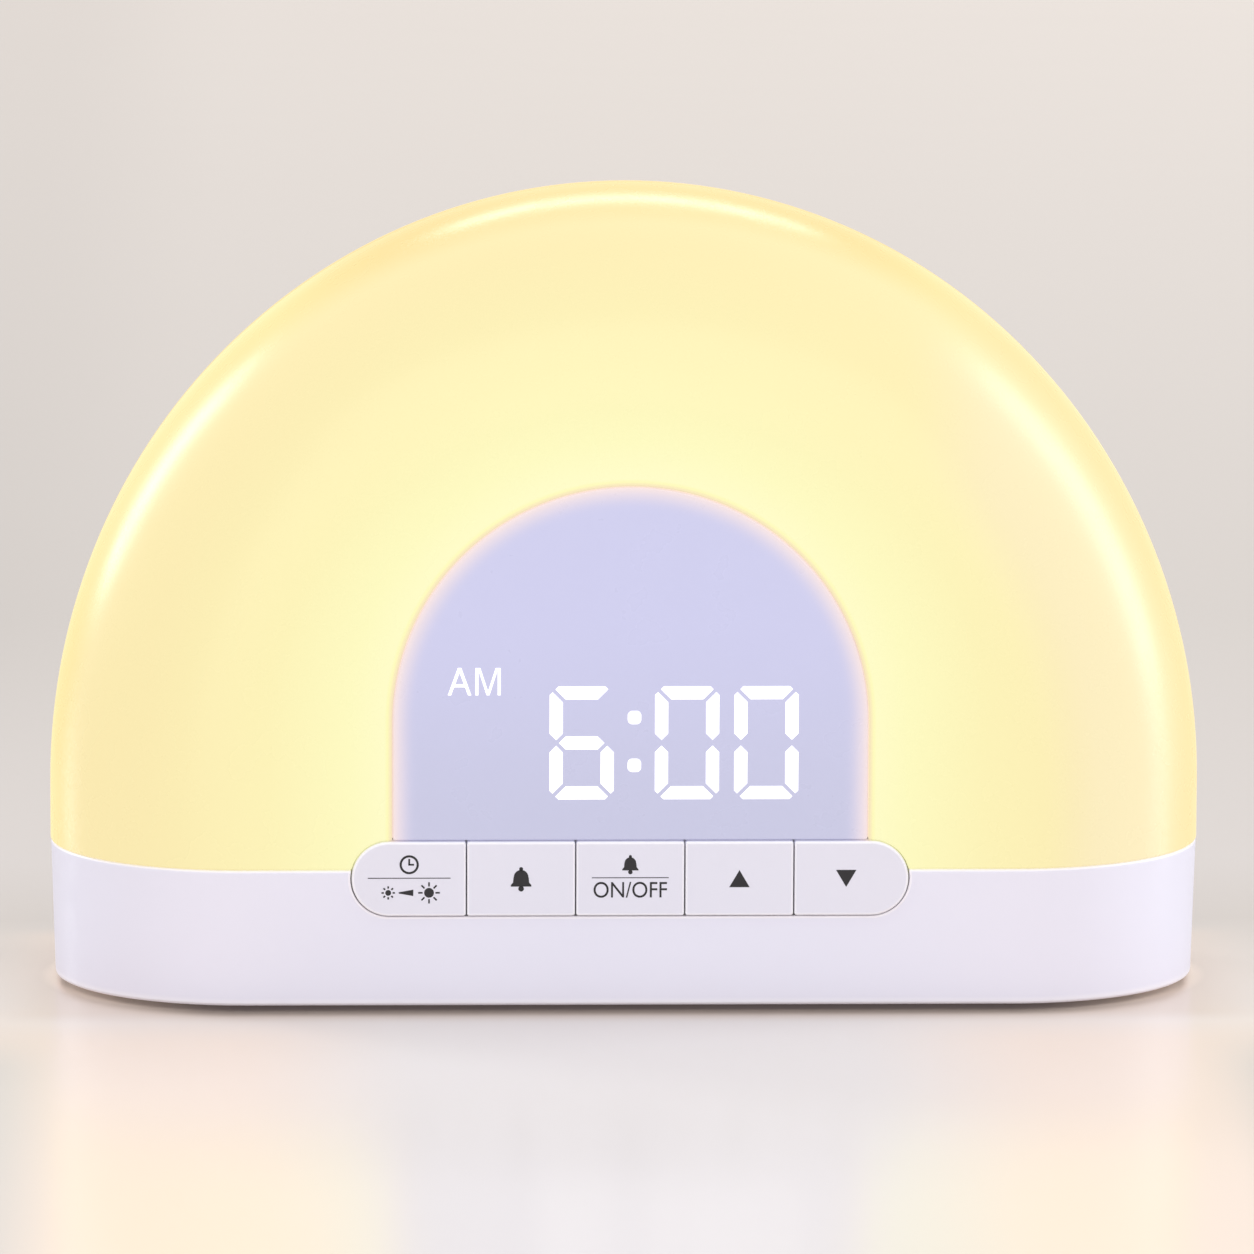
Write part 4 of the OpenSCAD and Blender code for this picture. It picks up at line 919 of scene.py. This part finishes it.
finishes = {
    "shell_plastic": plastic("white shell", (0.72, 0.70, 0.78)),
    "key_plastic": key_white,
    "white_plastic": plastic("inner white", (0.84, 0.84, 0.82), (0.45, 0.6), 0.05),
    "black_plastic": plastic("black moulding", (0.02, 0.02, 0.023), (0.4, 0.55), 0.2),
    "foot_rubber": plastic("foot rubber", (0.03, 0.03, 0.032), (0.7, 0.85), 0.25, 900.0, 0.06, 0.5),
    "foam_gasket": plastic("gasket foam", (0.02, 0.02, 0.022), (0.85, 0.95), 0.4, 2600.0, 0.2, 0.9),
    "cone_paper": plastic("cone paper", (0.025, 0.025, 0.03), (0.7, 0.9), 0.5, 2200.0, 0.08, 0.6),
    "ferrite": plastic("ferrite", (0.03, 0.03, 0.034), (0.5, 0.7), 0.3, 1800.0, 0.05, 0.4),
    "lead_insulation": plastic("lead sleeve", (0.42, 0.02, 0.015), (0.35, 0.5), 0.08),
    "ribbon_insulation": plastic("flat cable", (0.76, 0.76, 0.72), (0.3, 0.45), 0.05),
    "ink": plastic("key print", (0.017, 0.016, 0.020), (0.55, 0.65), 0.1),
}
print("plastics:", len(finishes))

# %% [markdown]
# ## The glow of the dome
#
# Light chips behind the display light the dome from inside, so it is brightest round the window and
# turns to a warmer yellow towards the rim. A translucent shader with lamps inside would be slow and
# grainy. A ramp on the distance from the display gives the same fall-off to the emission, and a low base
# colour leaves room for the studio's light. The cut edge round the window is a thin golden line. The
# thick rim is a deeper yellow, partly the glow's fall-off and partly painted shade that holds back the
# reflections there, and a band inside it on the right is a painted highlight.

# %% Dome finish
dome_glow, net, surface = new_material("lit dome", Emission_Strength=1.0)
across, _, up = in_mm(net)
away = times(net, use_group(net, edge_distance)["Inside"], -1.0)
uneven = times(net, calc(net, "SUBTRACT", noise(net, 14.0), 0.5), 0.08)
spread = calc(net, "ADD", remap(net, away, 0, 60, kind="LINEAR"), uneven)
glow = ramp(net, spread, [(0.0, (0.69, 0.70, 0.40)), (0.12, (0.68, 0.68, 0.35)),
    (0.35, (0.67, 0.62, 0.30)), (0.70, (0.67, 0.57, 0.275)), (1.0, (0.66, 0.54, 0.25))])
cut_edge = ramp(net, remap(net, away, 0.0, 1.6, kind="LINEAR"), [(0.0, (0.61, 0.49, 0.36)),
    (0.34, (0.655, 0.565, 0.33)), (0.58, (0.685, 0.68, 0.32)), (1.0, (0.69, 0.70, 0.38))])
glow = blend(net, remap(net, away, 1.6, 1.1), glow, cut_edge)
to_right = remap(net, across, 45, 65)
raised = times(net, past(net, up, ARCH_Z), ARCH_R / (ARCH_R + CROWN))
out = diagonal(net, raised, across)
# Painted highlight: a lighter band inside the rim on the right, where the right lamp's reflection spreads.
right_highlight = times(net, to_right, remap(net, out, 70, 82), remap(net, out, 96.5, 90))
glow = blend(net, right_highlight, glow, (0.67, 0.58, 0.35))
# The rim's deeper yellow is partly the glow's fall-off and partly painted shade: a little deeper on the
# right and deepest at the top, it holds back the room's reflection and the top lamp's light on the rim.
rim_colour = blend(net, to_right, (0.64, 0.51, 0.155), (0.62, 0.47, 0.15))
rim_colour = blend(net, remap(net, up, 115, 135), rim_colour, (0.58, 0.40, 0.08))
glow = blend(net, remap(net, out, 95, 99.8), glow, rim_colour)
feed(net, surface["Emission Color"], glow)
mould(net, surface, (0.26, 0.235, 0.15, 1), (0.25, 0.29), 0.02, 1200.0, 0.02, 0.06)
finishes["lit_diffuser"] = dome_glow

# %% [markdown]
# ## The window and its digits
#
# The window is cool and milky, a little darker low down. Where it meets the dome, warm light creeps a
# few millimetres into it, which the distance group places. The digits are the whitest thing there is,
# with a faint unevenness from the light chip behind each bar.

# %% Window and digits
window_finish, net, surface = new_material("milky window", Emission_Strength=1.0)
_, _, up = in_mm(net)
inside = use_group(net, edge_distance)["Inside"]
cool = ramp(net, remap(net, up, 30, 70), [(0.0, (0.60, 0.605, 0.80)), (1.0, (0.64, 0.642, 0.892))])
warm = ramp(net, remap(net, inside, 0.0, 3.5, kind="LINEAR"),
    [(0.0, (0.98, 0.82, 0.80)), (0.3, (0.86, 0.76, 0.84)), (1.0, (0.70, 0.67, 0.87))])
whole = blend(net, remap(net, inside, 0.5, 4.5), warm, cool)
# Half of the window's brightness is its own light and half what it reflects.
half_lit = scaled(net, whole, 0.465)
feed(net, surface["Emission Color"], half_lit)
mould(net, surface, half_lit, (0.26, 0.34), 0.02, 900.0, 0.02, 0.03)
finishes["display_lens"] = window_finish

digit_finish, net, surface = new_material("lit digit", Emission_Strength=1.0, Roughness=0.4)
hot = noise(net, 220.0, 1.0)
feed(net, surface["Emission Color"], blend(net, hot, (0.86, 0.86, 0.88), (0.95, 0.95, 0.95)))
feed(net, surface["Base Color"], blend(net, hot, (0.55, 0.55, 0.57), (0.62, 0.62, 0.62)))
finishes["segment_diffuser"] = digit_finish

# %% [markdown]
# ## Metals
#
# Screws, the cell's can, pins and the speaker's basket are plated or stamped metal. Drawing and
# tumbling leave fine lines and soft patches, so the roughness follows a stretched noise, and the bump
# is shallow. A metal's colour is its reflection, so it has full Metallic and a pale base.

# %% Metal finishes
def metal(name, colour, gloss=(0.22, 0.4), stretch=(1, 1, 12), strength=0.15):
    """Plated or brushed metal; stretch draws the lines out."""
    material, net, surface = new_material(name, Metallic=1.0)
    spot = add_node(net, "Mapping")
    spot.inputs["Scale"].default_value = stretch
    feed(net, spot.inputs["Vector"], where(net))
    lines = noise(net, 420.0, 4.0, 0.6, spot.outputs[0])
    feed(net, surface["Roughness"], remap(net, lines, 0.3, 0.7, *gloss, "LINEAR"))
    dark = tuple(0.82 * part for part in colour)
    feed(net, surface["Base Color"], blend(net, lines, dark, colour))
    relief(net, surface, lines, strength, 0.02)
    return material


finishes |= {
    "switch_steel": metal("stamped steel", (0.62, 0.62, 0.62)),
    "cell_steel": metal("cell can", (0.72, 0.72, 0.70), (0.15, 0.3), (1, 8, 1)),
    "screw_steel": metal("zinc plate", (0.66, 0.67, 0.70), (0.25, 0.45), (1, 1, 1)),
    "pin_metal": metal("plated pin", (0.80, 0.64, 0.36), (0.15, 0.3)),
    "contact_metal": metal("sprung contact", (0.83, 0.68, 0.38), (0.18, 0.35)),
    "capacitor_can": metal("sleeved can", (0.10, 0.11, 0.20), (0.3, 0.4)),
}

# %% [markdown]
# ## Circuit boards and light chips
#
# A circuit board is glass cloth under a coloured lacquer, and its copper tracks show through as lighter
# lines. A small brick texture gives straight tracks and pads cheaply, with a fine weave under them. A
# light chip is clear resin over a yellow phosphor.

# %% Boards and chips
def board(name, lacquer, copper):
    material, net, surface = new_material(name, Coat_Weight=0.3, Coat_Roughness=0.2)
    bricks = {"Scale": 110.0, "Mortar Size": 0.035, "Mortar Smooth": 0.3, "Brick Width": 0.9,
        "Row Height": 0.3, "Vector": where(net)}
    tracks = add_node(net, "TexBrick")
    for title, value in bricks.items():
        feed(net, tracks.inputs[title], value)
    weave = noise(net, 900.0, 3.0)
    cloth = blend(net, weave, lacquer, tuple(1.15 * part for part in lacquer))
    share = times(net, tracks.outputs["Fac"], 0.8)
    feed(net, surface["Base Color"], blend(net, share, cloth, copper))
    feed(net, surface["Roughness"], remap(net, weave, 0.3, 0.7, 0.35, 0.5, "LINEAR"))
    relief(net, surface, tracks.outputs["Fac"], 0.3, 0.03)
    return material


finishes["green_board"] = board("green board", (0.012, 0.085, 0.035), (0.05, 0.24, 0.09))
finishes["white_board"] = board("white board", (0.78, 0.78, 0.74), (0.86, 0.85, 0.78))
finishes["light_chip"] = plastic("light chip", (0.85, 0.62, 0.12), (0.15, 0.25), 0.15,
    Coat_Weight=1.0, Coat_Roughness=0.05)
print("finishes:", len(finishes))

# %% [markdown]
# ## Light through the rear shell
#
# Behind the dome the white shell isn't quite opaque: near the parting line it takes on the dome's
# colour. It is the white finish again, with a warm emission that fades within two centimetres.

# %% Rear shell finish
rear_finish = finishes["shell_plastic"].copy()
rear_finish.name = "rear shell"
net = rear_finish.node_tree
surface = net.nodes["Principled BSDF"].inputs
_, deep, _ = in_mm(net)
fade = remap(net, deep, PART_Y, 22, 1.0, 0.0)
feed(net, surface["Emission Color"], blend(net, fade, (0, 0, 0), (0.60, 0.44, 0.13)))
overlay(rear_finish, remap(net, deep, 10, 4), (0.26, 0.22, 0.12))
surface["Emission Strength"].default_value = 1.0

# %% [markdown]
# ## Every piece gets its finish
#
# A piece of the frame names the finish it should have in its only material, so its object gets the
# finished material in that slot. The new pieces are handed theirs one by one.

# %% Hand out the finishes
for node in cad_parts.values():
    node.material_slots[0].link = "OBJECT"
    node.material_slots[0].material = finishes[node.data.materials[0].name.split(".")[0]]


def finish(piece, material):
    piece.data.materials.clear()
    piece.data.materials.append(material)


for piece, material in (
        (dome, dome_glow), (rear, rear_finish), (base, base_white), (lens, window_finish),
        (digits, digit_finish), (grille, finishes["shell_plastic"]), (feet, finishes["foot_rubber"]),
        *[(cap, key_white) for cap in caps.values()], *[(sign, finishes["ink"]) for sign in marks]):
    finish(piece, material)

# %% [markdown]
# ## The floor
#
# One very large floor, pale and half glossy, mirrors the clock softly. No wall stands behind it: it runs
# far back, and its colour drifts with the distance, with a painted soft shadow of the clock beside it.
# The two pools of warm light in front, the painted shade outside them and under the clock, the dark line
# where the base comes close and the faint light that the base throws back there are painted on by their
# place on the floor.

# %% Studio floor: its colour with the distance, and the clock's painted shadow
only()
bpy.ops.mesh.primitive_plane_add(size=14)
floor = added("studio_floor")
floor_finish, net, surface = new_material("studio floor", Emission_Strength=1.0)
across, deep, _ = in_mm(net)
aside = calc(net, "ABSOLUTE", across)
back = remap(net, deep, -300, 1700, kind="LINEAR")
# The stops from 0.150 to 0.205 are painted shadow: the clock's soft shadow on the floor beside it.
paint = ramp(net, back, [(0.0, (0.68, 0.63, 0.59)), (0.11, (0.71, 0.665, 0.635)),
    (0.129, (0.72, 0.67, 0.635)), (0.150, (0.64, 0.576, 0.526)), (0.1756, (0.51, 0.458, 0.416)),
    (0.205, (0.552, 0.50, 0.47)), (0.35, (0.49, 0.445, 0.41)), (1.0, (0.59, 0.525, 0.475))])

# %% Painted warm pools of light, painted shade beside them and under the clock
nearby = remap(net, deep, -360, -240)
pool = times(net, remap(net, aside, 35, 70), remap(net, aside, 160, 90), nearby,
    remap(net, deep, -25, -65))
paint = blend(net, pool, paint, (0.80, 0.655, 0.55))
# Painted shade: the floor outside the pools is darker, most on the right, where the right lamp lights it.
beyond = times(net, remap(net, aside, 92, 112), remap(net, aside, 240, 140), nearby,
    remap(net, deep, -40, -90))
outside = blend(net, remap(net, across, -90, 90), (0.57, 0.54, 0.50), (0.53, 0.51, 0.48))
paint = blend(net, beyond, paint, outside)
# Painted shade: the floor under and close round the clock is a warmer brown, as the dome's glow tints the
# shadow there.
under = times(net, remap(net, aside, 115, 95), remap(net, calc(net, "ABSOLUTE", deep), 46, 34), 0.8)
paint = blend(net, under, paint, (0.66, 0.53, 0.44))

# %% Brightness from left to right, and the dark line round the base
shade = times(net, remap(net, across, -70, -130), remap(net, deep, 150, 400))
level = calc(net, "MULTIPLY_ADD", across, times(net, back, 0.25 * MM), 1.0)
level = calc(net, "MULTIPLY_ADD", shade, -0.085, level)
past_end = past(net, aside, END_X)
from_middle = diagonal(net, past_end, deep)
contact = times(net, remap(net, from_middle, 39.5, 34.5), remap(net, past_end, 0, 30, -0.42, 0.0))
level = times(net, level, calc(net, "ADD", contact, 1.0))
feed(net, surface["Base Color"], scaled(net, paint, level))
bounce = blend(net, remap(net, past_end, 0, 34), (0.045, 0.037, 0.037), (0.15, 0.12, 0.10))
close = remap(net, from_middle, 36, 32.5)
feed(net, surface["Emission Color"], blend(net, close, (0, 0, 0), bounce))
feed(net, surface["Roughness"], remap(net, noise(net, 8.0), 0.3, 0.7, 0.22, 0.24, "LINEAR"))
finish(floor, floor_finish)
print("floor:", len(net.nodes), "nodes")

# %% [markdown]
# ## Lamps and room
#
# Three soft lamps behind and beside the clock draw the bright lines along its rim. They are a little
# cool, so that the lines stay white on a warm dome. A fourth fills the front, and the room adds even
# light. Together they show a surface about as its colour is written.

# %% Lamps
LAMP_FAR, LAMP_AIM = 3.0, Vector((0, 0, 70 * MM))
COOL, WHITE = (0.9, 0.95, 1.0), (1, 1, 1)
scene = bpy.context.scene
scene.view_settings.view_transform = "Standard"


def soft_lamp(name, towards, width, height, shine, colour):
    """A lamp that faces the clock from a direction, with the brightness of its surface."""
    direction = Vector(towards).normalized()
    data = bpy.data.lights.new(name, "AREA")
    data.shape, data.size, data.size_y = "RECTANGLE", width, height
    data.energy, data.color = shine * math.pi * width * height, colour
    lamp = bpy.data.objects.new(name, data)
    scene.collection.objects.link(lamp)
    lamp.location = LAMP_AIM + direction * LAMP_FAR
    lamp.rotation_euler = direction.to_track_quat("Z", "Y").to_euler()


soft_lamp("left_lamp", (-0.76, 0.545, 0.35), 0.6, 1.4, 7.6, COOL)
soft_lamp("right_lamp", (0.88, 0.21, 0.33), 0.95, 2.2, 4.4, COOL)
soft_lamp("top_lamp", (0.03, 0.75, 0.67), 1.8, 0.33, 7.6, COOL)
soft_lamp("front_lamp", (0.0, -0.95, 0.3), 4.0, 2.6, 0.75, WHITE)
print("lamps:", len(bpy.data.lights))

# %% Room
room = bpy.data.worlds.new("studio_room")
scene.world = room
room.use_nodes = True
net = room.node_tree
path = add_node(net, "LightPath")
mirrored = calc(net, "MAXIMUM", path.outputs["Is Glossy Ray"], path.outputs["Is Transmission Ray"])
seen = calc(net, "MAXIMUM", path.outputs["Is Camera Ray"], mirrored)
backdrop = net.nodes["Background"]
feed(net, backdrop.inputs["Color"], blend(net, seen, (1.04, 1.05, 1.08), (0.78, 0.74, 0.70)))
backdrop.inputs["Strength"].default_value = 1.0

# %% [markdown]
# ## The camera
#
# A long lens from about two metres looks slightly down and to the right, which keeps the arch round.

# %% Camera
CAMERA_PLACE = (-61.295, -1880.90, 363.514)
LENS, SENSOR = 314.08, 36
TURN, TILT, ROLL = -0.03281, math.pi / 2 - 0.15918, 0.00368
camera_data = bpy.data.cameras.new("studio_camera")
camera_data.sensor_width, camera_data.lens = SENSOR, LENS
camera_data.clip_start, camera_data.clip_end = 0.05, 40
camera = bpy.data.objects.new("studio_camera", camera_data)
scene.collection.objects.link(camera)
camera.matrix_world = (Matrix.Translation(Vector(CAMERA_PLACE) * MM) @ Matrix.Rotation(TURN, 4, "Z")
    @ Matrix.Rotation(TILT, 4, "X") @ Matrix.Rotation(ROLL, 4, "Z"))
scene.camera = camera
